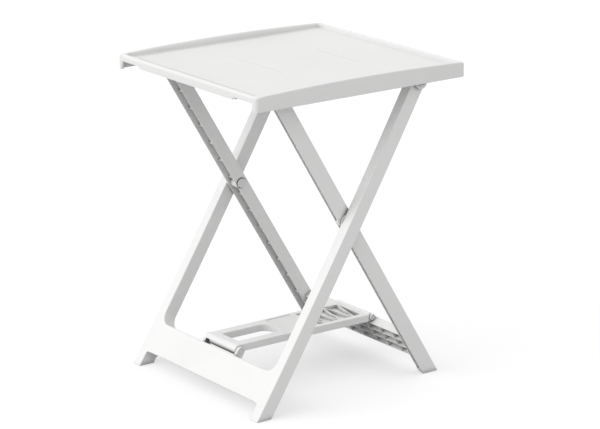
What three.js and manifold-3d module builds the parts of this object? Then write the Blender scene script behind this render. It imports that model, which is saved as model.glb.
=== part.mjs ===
// A small moulded plastic folding table, in millimetres.
//
// +X is to the right along the front edge, +Y to the back, +Z up. The origin is on the floor under
// the middle of the tabletop. Two crossed frames carry a shallow tray. The outer frame stands on its
// feet at the front and is hinged to the tray at the back. The inner frame stands at the back and
// bears on the tray's underside at the front. A link ties the two frames together near the floor.
// With the link unhooked, the frames spread flat beneath the tray.

import * as THREE from "three";
import { mergeVertices } from "three/addons/utils/BufferGeometryUtils.js";
import Module from "manifold-3d";

const wasm = await Module();
wasm.setup();

// ---------------------------------------------------------------- driving dimensions

// Tray
const TOP_WIDTH = 430;
const TOP_LENGTH = 464;
const RIM_HEIGHT = 595; // rim above the floor, at the corners
const LIP_CROWN = 5; // how far the side lips rise at the middle of their length
const LIP_WIDTH = 9;
const LIP_ROUND = 5; // rounding of the rim along the front and back edges
const TRAY_DEPTH = 7; // rim down to the tray's surface
const TRAY_FLOOR = 3;
const FIELD_INSET = 16; // border between the lip and the raised field
const FIELD_RISE = 0.8;
const TOP_CORNER = 6; // plan radius of the outer corners
const RECESS_CORNER = 9; // and of the corners inside the lip
const FIELD_CORNER = 9;
const SKIRT_DEPTH = 27; // rim down to the skirt's lower edge
const SKIRT_WALL = 3;
const SHALLOW_SKIRT = 16.2; // rim down to the lower edge of the front and back skirts
const LEG_NOTCH = 11.7; // rim down to the top of the notches that the folded legs pass through
const NOTCH_SLOPE = 6; // width of the slope beside a notch
const TOP_RIB_DEPTH = 5;
const TOP_RIB_WALL = 1.8;
const TOP_RIB_PITCH = 50;

// Frames
const LEG_ANGLE = 31.3; // of both frames from the vertical
const SIDE_GAP = 13; // between the outer frame and the tray's side skirts
const LEG_WIDTH = 22; // each leg's face
const OUTER_DEPTH = 27; // outer leg, front face to back edge
const INNER_DEPTH = 30; // inner leg, back face to the edge of its outer flange
const INNER_FLANGE_STEP = 5; // how much shallower the inner leg's inner flange is
const OUTER_BOW = 4.6; // how far the outer legs bow away from their chord
const WEB = 3; // closed face of either leg
const FLANGE = 2.7;
const RIB_WALL = 2;
const RIB_PITCH = 43.3;
const RIB_SET_BACK = 2; // ribs stop this far short of the shallower flange
const FOOT_WALL = 5;
const END_WALL = 9; // solid end of the inner leg, below the middle of its rounded top
const FRAME_GAP = 2.5; // between the inner frame and the outer frame, each side
const UPPER_ARM = 280.3; // outer leg, top hinge down to the crossing pivot
const TOP_HINGE_SET_IN = 93.3; // top hinge, in from the tray's back edge
const SEAT_PAD = 1.6; // thickness of the pads that the inner legs bear on

// Lower panel of the outer frame, as distances up the leg from the floor
const PANEL_BOTTOM = 23.3;
const PANEL_TOP = 83.8;
const PANEL_TOP_FILLET = 22;
const PANEL_BOTTOM_FILLET = 5;
const PANEL_WALL = 3;
const PANEL_TOP_FLANGE = 20; // depth of the flange along the panel's top edge
const PANEL_BOTTOM_FLANGE = 8; // and along its bottom edge
const PANEL_RIB_PITCH = 44;

// Crossbar of the inner frame, as distances up the leg from the floor
const BAR_BOTTOM = 35;
const BAR_TOP = 87;
const BAR_DEPTH = 18;
const BAR_BAYS = 3; // rows of pockets between its long flanges
const BAR_FLANGE = 2.5;
const BAR_RIB_PITCH = 38.5;

// Tie link
const LINK_HINGE_IN = 6.7; // hinge rod, behind the outer leg's chord
const HINGE_ROD_R = 5;
const KNUCKLE_WALL = 5;
const KNUCKLE_GAP = 2.2; // between the knuckle and the panel's top edge
const EAR_WALL = 6;
const EAR_RING = 3; // ear beyond the rod
const EAR_GAP = 0.6; // between the knuckle and each ear
const BEAD_STANDOFF = 1.1; // between the bead and the crossbar's top edge
const BEAD_IN = -7.2; // catch bead, from the inner leg's middle towards its back face
const BEAD_R = 6;
const BEAD_LENGTH = 108;
const BEAD_NECK = 5;
const CLIP_WALL = 3.35;
const CLIP_GAP = 0.35;
const CLIP_MOUTH = 116; // degrees left open for the bead's neck
const LINK_WIDTH = 92; // at the hinge
const LINK_TAIL_WIDTH = 101; // at the clip
const LINK_DEPTH = 13.4;
const LINK_WALL = 3;
const LINK_RISE = 10.2; // link's top face above its hinge axis
const WINDOW_WIDTH = 52;
const WINDOW_START = 13; // from the hinge axis
const WINDOW_END = 115;
const PLATE_LENGTH = 73; // between the window and the pocket
const WINDOW_CORNER = 20;
const WINDOW_WALL = 2.6;
const POCKET_TAIL = 15.5; // from the pocket to the bead's axis
const POCKET_WIDTH = 74;
const POCKET_DEPTH = 7;
const POCKET_RIB = 2.4;
const POCKET_PITCH = 16.7;

// Pins and hubs
const PIVOT_R = 5;
const PIVOT_HEAD_R = 9;
const PIVOT_HEAD = 2.5;
const PIVOT_HUB_R = 11;
const BOSS_R = 16; // round boss on the outer leg at the crossing
const BOSS_PROUD = 2;
const TOP_PIN_R = 4;
const TOP_PIN_HEAD_R = 6.5;
const TOP_PIN_HEAD = 1.8;
const TOP_HUB_R = 9;
const LUG_R = 12;
const LUG_WALL = 6;
const LUG_GAP = 1; // between a lug and the leg beside it
const FIT = 0.3; // clearance between a pin or rod and its hole, and between touching faces
const SEAT_GAP = 0.4; // between the inner frame's tops and their seats at rest
const SEAT_LENGTH = 24;
const STOP_SET_BACK = 17; // seat stop, behind the inner frame's top
const STOP_WALL = 2;

const ROUND = 28; // facets of a pin or bead
const ARC_STEPS = 12; // facets of a bowed leg

// ---------------------------------------------------------------- places worked out from them

const tilt = THREE.MathUtils.degToRad(LEG_ANGLE);
const SIN = Math.sin(tilt);
const COS = Math.cos(tilt);
const trayTop = RIM_HEIGHT - TRAY_DEPTH;
const trayUnder = trayTop - TRAY_FLOOR;
const seat = trayUnder - SEAT_PAD; // lower face of the pads
const topHinge = {
  y: TOP_LENGTH / 2 - TOP_HINGE_SET_IN,
  z: seat - SEAT_GAP - INNER_DEPTH / 2,
};
const outerHalf = TOP_WIDTH / 2 - SKIRT_WALL - SIDE_GAP;
const outerInside = outerHalf - LEG_WIDTH;
const innerHalf = outerInside - FRAME_GAP;
const innerInside = innerHalf - LEG_WIDTH;
const legLength = topHinge.z / COS; // floor to top hinge, along either leg
const outerFoot = topHinge.y - legLength * SIN;
const pivotUp = legLength - UPPER_ARM;

// How far the outer leg's middle line stands behind its chord at a distance up the leg.
function bowAt(up) {
  const fromMiddle = (2 * up) / legLength - 1;
  return OUTER_BOW * (1 - fromMiddle * fromMiddle);
}

// A point of the outer frame's side view, from its distance up the chord and behind it.
function onOuter(up, behind) {
  return { y: outerFoot + up * SIN + behind * COS, z: up * COS - behind * SIN };
}

const pivot = onOuter(pivotUp, bowAt(pivotUp));
const innerFoot = pivot.y + (pivot.z / COS) * SIN;

// A point of the inner frame's side view, from its distance up the leg and in front of its middle.
function onInner(up, ahead) {
  return { y: innerFoot - up * SIN - ahead * COS, z: up * COS - ahead * SIN };
}

const knuckleR = HINGE_ROD_R + KNUCKLE_WALL;
const earR = HINGE_ROD_R + EAR_RING;
const linkHingeUp = PANEL_TOP + KNUCKLE_GAP + knuckleR;
const linkHinge = onOuter(linkHingeUp, LINK_HINGE_IN);
const beadUp = BAR_TOP + BEAD_STANDOFF + BEAD_R;
const bead = onInner(beadUp, BEAD_IN);
const innerTop = onInner(legLength, 0);

// ---------------------------------------------------------------- making solids

// A closed three.js geometry as a solid.
function solid(geometry) {
  geometry.deleteAttribute("normal");
  geometry.deleteAttribute("uv");
  const merged = mergeVertices(geometry, 1e-4);
  return new wasm.Manifold(
    new wasm.Mesh({
      numProp: 3,
      vertProperties: merged.attributes.position.array,
      triVerts: new Uint32Array(merged.index.array),
    }),
  );
}

function join(pieces) {
  return pieces.reduce((whole, piece) => whole.add(piece));
}

function cut(body, tools) {
  return tools.reduce((left, tool) => left.subtract(tool), body);
}

function box(x0, x1, y0, y1, z0, z1) {
  const made = new THREE.BoxGeometry(x1 - x0, y1 - y0, z1 - z0);
  made.translate((x0 + x1) / 2, (y0 + y1) / 2, (z0 + z1) / 2);
  return solid(made);
}

// A side-view outline of {y, z} points, run from x0 to x1.
function slab(outline, x0, x1) {
  const shape = new THREE.Shape(outline.map((p) => new THREE.Vector2(p.y, p.z)));
  const made = new THREE.ExtrudeGeometry(shape, { depth: x1 - x0, bevelEnabled: false });
  made.applyMatrix4(new THREE.Matrix4().set(0, 0, 1, x0, 1, 0, 0, 0, 0, 1, 0, 0, 0, 0, 0, 1));
  return solid(made);
}

// A front-view outline of [x, z] points, run from y0 to y1.
function frontSlab(outline, y0, y1) {
  const shape = new THREE.Shape(outline.map(([x, z]) => new THREE.Vector2(x, z)));
  const made = new THREE.ExtrudeGeometry(shape, { depth: y1 - y0, bevelEnabled: false });
  made.applyMatrix4(new THREE.Matrix4().set(1, 0, 0, 0, 0, 0, -1, y1, 0, 1, 0, 0, 0, 0, 0, 1));
  return solid(made);
}

// A plan outline, run up from z0 to z1.
function planSlab(shape, z0, z1, curveSegments = 6) {
  const options = { depth: z1 - z0, bevelEnabled: false, curveSegments };
  const made = new THREE.ExtrudeGeometry(shape, options);
  made.translate(0, 0, z0);
  return solid(made);
}

// A round bar along X.
function bar(centre, radius, x0, x1, facets = ROUND) {
  const made = new THREE.CylinderGeometry(radius, radius, x1 - x0, facets);
  made.rotateZ(Math.PI / 2);
  made.translate((x0 + x1) / 2, centre.y, centre.z);
  return solid(made);
}

function roundedRectangle(width, length, radius) {
  const x = width / 2;
  const y = length / 2;
  const shape = new THREE.Shape();
  shape.moveTo(-x + radius, -y);
  shape.lineTo(x - radius, -y);
  shape.absarc(x - radius, -y + radius, radius, -Math.PI / 2, 0);
  shape.absarc(x - radius, y - radius, radius, 0, Math.PI / 2);
  shape.absarc(-x + radius, y - radius, radius, Math.PI / 2, Math.PI);
  shape.absarc(-x + radius, -y + radius, radius, Math.PI, Math.PI * 1.5);
  return shape;
}

// The side-view outline of a strip of a frame, between two distances up and two depths.
function strip(place, low, high, front, back) {
  return [place(low, front), place(low, back), place(high, back), place(high, front)];
}

// A strip that follows the outer legs' bow.
function bowedStrip(low, high, front, back) {
  const ups = Array.from({ length: ARC_STEPS + 1 }, (_, i) => low + ((high - low) * i) / ARC_STEPS);
  const ahead = ups.map((up) => onOuter(up, bowAt(up) + front));
  const behind = ups.map((up) => onOuter(up, bowAt(up) + back));
  return [...behind, ...ahead.reverse()];
}

// Both sides of the table: the piece made for the right side, and its mirror image.
function bothSides(piece) {
  return piece.add(piece.mirror([1, 0, 0]));
}

function evenly(low, high, pitch) {
  const bays = Math.max(1, Math.round((high - low) / pitch));
  return Array.from({ length: bays - 1 }, (_, i) => low + ((high - low) * (i + 1)) / bays);
}

const belowFloor = box(-TOP_WIDTH, TOP_WIDTH, -TOP_LENGTH, TOP_LENGTH, -RIM_HEIGHT, 0);

// ---------------------------------------------------------------- tabletop

// The tray's side view: the side lips are crowned, and the front and back edges are rounded over.
function trayOutline() {
  const y = TOP_LENGTH / 2;
  const bottom = RIM_HEIGHT - SKIRT_DEPTH;
  const points = [
    { y: -y, z: bottom },
    { y, z: bottom },
  ];
  const steps = 6;
  for (let i = 0; i <= steps; i++) {
    const turn = ((Math.PI / 2) * i) / steps;
    const back = y - LIP_ROUND + LIP_ROUND * Math.cos(turn);
    points.push({ y: back, z: RIM_HEIGHT - LIP_ROUND + LIP_ROUND * Math.sin(turn) });
  }
  const inner = y - LIP_ROUND;
  for (let i = 1; i < 2 * steps; i++) {
    const along = 1 - i / steps;
    points.push({ y: inner * along, z: RIM_HEIGHT + LIP_CROWN * (1 - along * along) });
  }
  for (let i = steps; i >= 0; i--) {
    const turn = ((Math.PI / 2) * i) / steps;
    const front = -y + LIP_ROUND - LIP_ROUND * Math.cos(turn);
    points.push({ y: front, z: RIM_HEIGHT - LIP_ROUND + LIP_ROUND * Math.sin(turn) });
  }
  return points;
}

// What is cut from the front and back skirts: a shallow middle, and notches for the folded legs.
function skirtCutOutline() {
  const below = RIM_HEIGHT - SKIRT_DEPTH - 1;
  const middle = RIM_HEIGHT - SHALLOW_SKIRT;
  const notch = RIM_HEIGHT - LEG_NOTCH;
  const outside = outerHalf + FRAME_GAP;
  const inside = innerInside - FRAME_GAP;
  const right = [
    [outside, below],
    [outside, notch],
    [inside, notch],
    [inside - NOTCH_SLOPE, middle],
  ];
  const left = right.map(([x, z]) => [-x, z]).reverse();
  return [...right, ...left];
}

function topRibs() {
  const bottom = trayUnder - TOP_RIB_DEPTH;
  const wall = TOP_RIB_WALL / 2;
  const x = innerInside - FRAME_GAP;
  const y = TOP_LENGTH / 2 - SKIRT_WALL;
  const ribs = [];
  for (const at of [-x, ...evenly(-x, x, TOP_RIB_PITCH), x])
    ribs.push(box(at - wall, at + wall, -y - 1, y + 1, bottom, trayUnder + 1));
  for (const at of evenly(-y, y, TOP_RIB_PITCH))
    ribs.push(box(-x, x, at - wall, at + wall, bottom, trayUnder + 1));
  return ribs;
}

// The lug that hangs beside each outer leg, and the web that ties it to the skirt.
function hingeLug() {
  const x0 = outerHalf + LUG_GAP;
  const x1 = x0 + LUG_WALL;
  const skirt = TOP_WIDTH / 2 - SKIRT_WALL + 1;
  const { y, z } = topHinge;
  const round = bar(topHinge, LUG_R, x0, x1);
  const plate = box(x0, x1, y - LUG_R, y + LUG_R, z, trayUnder + 1);
  const tieBottom = z + TOP_PIN_HEAD_R + LUG_GAP;
  const tie = box(x1 - 1, skirt, y - TOP_RIB_WALL, y + TOP_RIB_WALL, tieBottom, trayUnder + 1);
  return cut(join([round, plate, tie]), [bar(topHinge, TOP_PIN_R + FIT, x0 - 1, x1 + 1)]);
}

// The pad that an inner leg's top bears on, and the stop behind it.
function legSeat() {
  const y = innerTop.y;
  const x = [innerInside, innerHalf];
  const pad = box(...x, y - SEAT_LENGTH / 2, y + SEAT_LENGTH / 2, seat, trayUnder + 1);
  const stopY = y + STOP_SET_BACK;
  const stop = box(...x, stopY, stopY + STOP_WALL, trayUnder - TOP_RIB_DEPTH, trayUnder + 1);
  return pad.add(stop);
}

function makeTabletop() {
  const plan = roundedRectangle(TOP_WIDTH, TOP_LENGTH, TOP_CORNER);
  const high = RIM_HEIGHT + LIP_CROWN + 1;
  const block = planSlab(plan, 0, high, 8).intersect(
    slab(trayOutline(), -TOP_WIDTH, TOP_WIDTH),
  );
  const lip = 2 * LIP_WIDTH;
  const recess = roundedRectangle(TOP_WIDTH - lip, TOP_LENGTH - lip, RECESS_CORNER);
  const wall = 2 * SKIRT_WALL;
  const hollow = roundedRectangle(TOP_WIDTH - wall, TOP_LENGTH - wall, TOP_CORNER - SKIRT_WALL);
  const edge = lip + 2 * FIELD_INSET;
  const field = roundedRectangle(TOP_WIDTH - edge, TOP_LENGTH - edge, FIELD_CORNER);
  const reach = TOP_LENGTH;
  const shell = cut(block, [
    planSlab(recess, trayTop, high, 5),
    planSlab(hollow, 0, trayUnder),
    frontSlab(skirtCutOutline(), -reach, reach),
  ]);
  const fieldPlate = planSlab(field, trayTop - 1, trayTop + FIELD_RISE, 4);
  return join([shell, fieldPlate, ...topRibs(), bothSides(hingeLug()), bothSides(legSeat())]);
}

// ---------------------------------------------------------------- outer frame

function outerLeg() {
  const half = OUTER_DEPTH / 2;
  const blank = join([
    slab(bowedStrip(-FOOT_WALL * 4, legLength, -half, half), outerInside, outerHalf),
    bar(topHinge, half, outerInside, outerHalf),
  ]);
  const x0 = outerInside + FLANGE;
  const x1 = outerHalf - FLANGE;
  const low = half * Math.tan(tilt) + FOOT_WALL;
  const channel = slab(bowedStrip(low, legLength, WEB - half, half + 1), x0, x1);
  const ribs = evenly(low, legLength, RIB_PITCH).map((up) =>
    slab(bowedStrip(up - RIB_WALL / 2, up + RIB_WALL / 2, 1 - half, half - RIB_SET_BACK), x0 - 1, x1 + 1),
  );
  return join([
    cut(blank, [channel]),
    ...ribs,
    bar(pivot, PIVOT_HUB_R, outerInside, outerHalf - 1),
    bar(pivot, BOSS_R, outerInside - BOSS_PROUD, outerInside + 1),
    bar(topHinge, TOP_HUB_R, outerInside, outerHalf),
  ]);
}

// A window outline across the frame, x against distance up the leg, with two corners rounded.
function windowCut(half, low, high, lowRadius, highRadius) {
  const shape = new THREE.Shape();
  shape.moveTo(-half + lowRadius, low);
  shape.lineTo(half - lowRadius, low);
  if (lowRadius) shape.absarc(half - lowRadius, low + lowRadius, lowRadius, -Math.PI / 2, 0);
  shape.lineTo(half, high - highRadius);
  if (highRadius) shape.absarc(half - highRadius, high - highRadius, highRadius, 0, Math.PI / 2);
  shape.lineTo(-half + highRadius, high);
  if (highRadius) {
    shape.absarc(-half + highRadius, high - highRadius, highRadius, Math.PI / 2, Math.PI);
  }
  shape.lineTo(-half, low + lowRadius);
  if (lowRadius) shape.absarc(-half + lowRadius, low + lowRadius, lowRadius, Math.PI, Math.PI * 1.5);
  const options = { depth: 4 * OUTER_DEPTH, bevelEnabled: false, curveSegments: 6 };
  const made = new THREE.ExtrudeGeometry(shape, options);
  const base = onOuter(0, 2 * OUTER_DEPTH);
  made.applyMatrix4(
    new THREE.Matrix4().set(1, 0, 0, 0, 0, SIN, -COS, base.y, 0, COS, SIN, base.z, 0, 0, 0, 1),
  );
  return solid(made);
}

function lowerPanel() {
  const half = OUTER_DEPTH / 2;
  const web = slab(
    bowedStrip(0, PANEL_TOP + PANEL_TOP_FILLET, -half, PANEL_WALL - half),
    -outerInside - 1,
    outerInside + 1,
  );
  const above = windowCut(outerInside, PANEL_TOP, legLength, PANEL_TOP_FILLET, 0);
  const below = windowCut(outerInside, -legLength, PANEL_BOTTOM, 0, PANEL_BOTTOM_FILLET);
  const x = outerInside - PANEL_TOP_FILLET;
  const highBack = PANEL_TOP_FLANGE - half;
  const lowBack = PANEL_BOTTOM_FLANGE - half;
  const flange = (low, back) => slab(bowedStrip(low, low + PANEL_WALL, 1 - half, back), -x, x);
  const ribOutline = [
    onOuter(PANEL_BOTTOM + 1, 2 - half),
    onOuter(PANEL_BOTTOM + 1, lowBack),
    onOuter(PANEL_TOP - 1, highBack - RIB_SET_BACK),
    onOuter(PANEL_TOP - 1, 2 - half),
  ];
  const ribs = evenly(-x, x, PANEL_RIB_PITCH).map((at) =>
    slab(ribOutline, at - RIB_WALL / 2, at + RIB_WALL / 2),
  );
  return join([
    cut(web, [above, below]),
    flange(PANEL_BOTTOM, lowBack),
    flange(PANEL_TOP - PANEL_WALL, highBack),
    ...ribs,
  ]);
}

// The ear that holds one end of the link's hinge rod above the panel's top flange.
function hingeEar() {
  const x0 = LINK_WIDTH / 2 + EAR_GAP;
  const x1 = x0 + EAR_WALL;
  const low = PANEL_TOP - PANEL_WALL;
  const foot = strip(onOuter, low, linkHingeUp, LINK_HINGE_IN - earR, LINK_HINGE_IN + earR);
  const blank = join([bar(linkHinge, earR, x0, x1), slab(foot, x0, x1)]);
  return cut(blank, [bar(linkHinge, HINGE_ROD_R + FIT, x0 - 1, x1 + 1)]);
}

function makeOuterFrame() {
  const frame = join([bothSides(outerLeg()), lowerPanel(), bothSides(hingeEar())]);
  const pivotHole = bar(pivot, PIVOT_R + FIT, outerInside - BOSS_PROUD - 1, outerHalf - WEB);
  const topHole = bar(topHinge, TOP_PIN_R + FIT, outerInside - 1, outerHalf + 1);
  return cut(frame, [bothSides(pivotHole), bothSides(topHole), belowFloor]);
}

// ---------------------------------------------------------------- inner frame

// What is cut from an inner leg's outer top corner, so that it swings past the panel's corner.
function cornerCut() {
  const end = legLength + INNER_DEPTH / 2;
  const size = PANEL_TOP_FILLET / 2;
  const shape = new THREE.Shape([
    new THREE.Vector2(innerHalf - size, end),
    new THREE.Vector2(innerHalf + size, end - 2 * size),
    new THREE.Vector2(innerHalf + size, end),
  ]);
  const made = new THREE.ExtrudeGeometry(shape, { depth: 4 * INNER_DEPTH, bevelEnabled: false });
  const base = onInner(0, -2 * INNER_DEPTH);
  made.applyMatrix4(
    new THREE.Matrix4().set(1, 0, 0, 0, 0, -SIN, -COS, base.y, 0, COS, -SIN, base.z, 0, 0, 0, 1),
  );
  return solid(made);
}

function innerLeg() {
  const half = INNER_DEPTH / 2;
  const inside = half - INNER_FLANGE_STEP;
  const blank = join([
    slab(strip(onInner, -FOOT_WALL * 4, legLength, -half, half), innerInside, innerHalf),
    bar(innerTop, half, innerInside, innerHalf),
  ]);
  const low = half * Math.tan(tilt) + FOOT_WALL;
  const high = legLength - END_WALL;
  const x0 = innerInside + FLANGE;
  const x1 = innerHalf - FLANGE;
  const channel = slab(strip(onInner, low, high, WEB - half, half + 1), x0, x1);
  const step = slab(strip(onInner, low, high, inside, half + 1), innerInside - 1, x0 + 1);
  const ribs = evenly(low, high, RIB_PITCH).map((up) =>
    slab(
      strip(onInner, up - RIB_WALL / 2, up + RIB_WALL / 2, 1 - half, inside - RIB_SET_BACK),
      x0 - 1,
      x1 + 1,
    ),
  );
  const leg = join([
    cut(blank, [channel, step]),
    ...ribs,
    bar(pivot, PIVOT_HUB_R, innerInside, innerHalf),
  ]);
  return cut(leg, [cornerCut()]);
}

// The ribbed bar between the inner legs, with the round bead that the link clips over.
function crossbar() {
  const half = INNER_DEPTH / 2;
  const x = innerInside + 1;
  const front = BAR_DEPTH - half;
  const web = slab(strip(onInner, BAR_BOTTOM, BAR_TOP, -half, WEB - half), -x, x);
  const bay = (BAR_TOP - BAR_FLANGE - BAR_BOTTOM) / BAR_BAYS;
  const flanges = Array.from({ length: BAR_BAYS + 1 }, (_, i) => BAR_BOTTOM + i * bay).map((low) =>
    slab(strip(onInner, low, low + BAR_FLANGE, 1 - half, front), -x, x),
  );
  const ribs = evenly(-x, x, BAR_RIB_PITCH).map((at) =>
    slab(
      strip(onInner, BAR_BOTTOM + 1, BAR_TOP - 1, 1 - half, front - RIB_SET_BACK),
      at - RIB_WALL / 2,
      at + RIB_WALL / 2,
    ),
  );
  const end = BEAD_LENGTH / 2;
  const neckHalf = BEAD_NECK / 2;
  const neckOutline = strip(onInner, BAR_TOP - 1, beadUp, BEAD_IN - neckHalf, BEAD_IN + neckHalf);
  return join([web, ...flanges, ...ribs, bar(bead, BEAD_R, -end, end), slab(neckOutline, -end, end)]);
}

function makeInnerFrame() {
  const frame = join([bothSides(innerLeg()), crossbar()]);
  const hole = bar(pivot, PIVOT_R + FIT, innerInside - 1, innerHalf + 1);
  return cut(frame, [bothSides(hole), belowFloor]);
}

// ---------------------------------------------------------------- tie link

const linkTop = linkHinge.z + LINK_RISE;
const linkBottom = linkTop - LINK_DEPTH;
const clipOuter = BEAD_R + CLIP_GAP + CLIP_WALL;
const linkSpan = bead.y - linkHinge.y;
const pocketStart = WINDOW_END + PLATE_LENGTH;
const pocketEnd = linkSpan - POCKET_TAIL;

// Half the link's width, inset by a margin, at a distance behind the hinge axis.
function linkHalf(along, margin) {
  const share = THREE.MathUtils.clamp(along / linkSpan, 0, 1);
  return THREE.MathUtils.lerp(LINK_WIDTH, LINK_TAIL_WIDTH, share * share) / 2 - margin;
}

// The link's plan between two distances behind the hinge axis.
function linkPlan(from, to, margin) {
  const steps = 8;
  const along = Array.from({ length: steps + 1 }, (_, i) => from + ((to - from) * i) / steps);
  const right = along.map((a) => new THREE.Vector2(linkHalf(a, margin), linkHinge.y + a));
  const left = along.map((a) => new THREE.Vector2(-linkHalf(a, margin), linkHinge.y + a));
  return new THREE.Shape([...right, ...left.reverse()]);
}

// The window's plan, grown by a margin: square towards the hinge and rounded at the far end.
function windowPlan(margin) {
  const x = WINDOW_WIDTH / 2 + margin;
  const y0 = linkHinge.y + WINDOW_START - margin;
  const y1 = linkHinge.y + WINDOW_END + margin;
  const r = WINDOW_CORNER + margin;
  const shape = new THREE.Shape();
  shape.moveTo(-x, y0);
  shape.lineTo(x, y0);
  shape.absarc(x - r, y1 - r, r, 0, Math.PI / 2);
  shape.absarc(-x + r, y1 - r, r, Math.PI / 2, Math.PI);
  return shape;
}

// Zigzag ribs across the pocket, between its front and back walls.
function pocketRibs() {
  const x = POCKET_WIDTH / 2 + 1;
  const y0 = linkHinge.y + pocketStart;
  const bays = Math.round((pocketEnd - pocketStart) / POCKET_PITCH);
  const bay = (pocketEnd - pocketStart) / bays;
  const w = POCKET_RIB / 2;
  const ribs = [];
  for (let i = 0; i < bays; i++) {
    const side = i % 2 ? 1 : -1;
    const y = y0 + i * bay;
    const shape = new THREE.Shape([
      new THREE.Vector2(side * x, y - w),
      new THREE.Vector2(side * x, y + w),
      new THREE.Vector2(-side * x, y + bay + w),
      new THREE.Vector2(-side * x, y + bay - w),
    ]);
    ribs.push(planSlab(shape, linkTop - POCKET_DEPTH - 1, linkTop - 1));
  }
  return ribs;
}

// The part of a disc about the bead that faces down the inner leg, which the clip leaves open.
function clipMouth() {
  const reach = 2 * clipOuter;
  const middle = tilt - Math.PI / 2;
  const half = THREE.MathUtils.degToRad(CLIP_MOUTH / 2);
  const points = [{ y: bead.y, z: bead.z }];
  for (const turn of [middle - half, middle, middle + half])
    points.push({ y: bead.y + reach * Math.cos(turn), z: bead.z + reach * Math.sin(turn) });
  return slab(points, -LINK_TAIL_WIDTH, LINK_TAIL_WIDTH);
}

function makeTieLink() {
  const bodyEnd = linkSpan - BEAD_R;
  const outer = planSlab(linkPlan(0, bodyEnd, 0), linkBottom, linkTop);
  const inner = planSlab(linkPlan(knuckleR, bodyEnd - LINK_WALL, LINK_WALL), 0, linkTop - LINK_WALL);
  const windowWall = planSlab(windowPlan(WINDOW_WALL), linkBottom, linkTop - 1);
  const pocketX = POCKET_WIDTH / 2;
  const pocketY = [linkHinge.y + pocketStart, linkHinge.y + pocketEnd];
  const pocketFloor = linkTop - POCKET_DEPTH;
  const pocketShell = box(
    -pocketX - LINK_WALL,
    pocketX + LINK_WALL,
    pocketY[0] - LINK_WALL,
    pocketY[1] + LINK_WALL,
    pocketFloor - LINK_WALL,
    linkTop - 1,
  );
  const pocket = box(-pocketX, pocketX, ...pocketY, pocketFloor, linkTop + 1);
  const knuckle = bar(linkHinge, knuckleR, -LINK_WIDTH / 2, LINK_WIDTH / 2);
  const clip = bar(bead, clipOuter, -LINK_TAIL_WIDTH / 2, LINK_TAIL_WIDTH / 2);
  const body = cut(join([cut(outer, [inner]), windowWall, pocketShell]), [
    pocket,
    planSlab(windowPlan(0), 0, linkTop + 1),
  ]);
  const whole = join([body, knuckle, clip, ...pocketRibs()]);
  return cut(whole, [
    bar(linkHinge, HINGE_ROD_R + FIT, -LINK_WIDTH, LINK_WIDTH),
    bar(bead, BEAD_R + CLIP_GAP, -LINK_WIDTH, LINK_WIDTH),
    clipMouth(),
  ]);
}

// ---------------------------------------------------------------- pins and rods

function makeHingeRod() {
  const end = LINK_WIDTH / 2 + EAR_GAP + EAR_WALL;
  return bar(linkHinge, HINGE_ROD_R, -end, end);
}

// The pin through the crossing on the right side: its head is inside the inner frame.
function makePivotPin() {
  const inside = innerInside - FIT;
  const shank = bar(pivot, PIVOT_R, inside - 1, outerHalf - WEB - FIT);
  return shank.add(bar(pivot, PIVOT_HEAD_R, inside - PIVOT_HEAD, inside));
}

// The pin through the tray's lug and the outer leg's top on the right side.
function makeTopPin() {
  const outside = outerHalf + LUG_GAP + LUG_WALL + FIT;
  const shank = bar(topHinge, TOP_PIN_R, outerInside + 1, outside + 1);
  return shank.add(bar(topHinge, TOP_PIN_HEAD_R, outside, outside + TOP_PIN_HEAD));
}

// ---------------------------------------------------------------- the assembly

const PLASTIC = { color: 0xf2f2f0, roughness: 0.42, metalness: 0 };
const PIN_PLASTIC = { color: 0xeeeeec, roughness: 0.35, metalness: 0 };

function addPiece(group, name, made, look) {
  const { vertProperties, triVerts } = made.getMesh();
  const geometry = new THREE.BufferGeometry();
  geometry.setAttribute("position", new THREE.BufferAttribute(new Float32Array(vertProperties), 3));
  geometry.setIndex(new THREE.BufferAttribute(new Uint32Array(triVerts), 1));
  geometry.computeVertexNormals();
  const mesh = new THREE.Mesh(geometry, new THREE.MeshStandardMaterial(look));
  mesh.name = name;
  group.add(mesh);
}

const table = new THREE.Group();
table.name = "folding_table";

addPiece(table, "tabletop", makeTabletop(), PLASTIC);
addPiece(table, "outer_frame", makeOuterFrame(), PLASTIC);
addPiece(table, "inner_frame", makeInnerFrame(), PLASTIC);
addPiece(table, "tie_link", makeTieLink(), PLASTIC);
addPiece(table, "link_hinge_rod", makeHingeRod(), PIN_PLASTIC);

for (const [side, turn] of [["right", 1], ["left", -1]]) {
  const place = (pin) => (turn > 0 ? pin : pin.mirror([1, 0, 0]));
  addPiece(table, `pivot_pin_${side}`, place(makePivotPin()), PIN_PLASTIC);
  addPiece(table, `top_hinge_pin_${side}`, place(makeTopPin()), PIN_PLASTIC);
}

export default table;
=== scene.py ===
"""A small white folding table of moulded polypropylene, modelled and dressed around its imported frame.

The front of the table faces -Y, and lengths are in metres. Each moulding is a class that holds its
sizes, builds its mesh from primitives shaped in edit mode, and dresses it in its finish.
"""

import logging
import math
from dataclasses import dataclass, field
from enum import Enum
from typing import Callable, Iterable, Sequence

import bmesh
import bpy
from mathutils import Matrix, Vector


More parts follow.
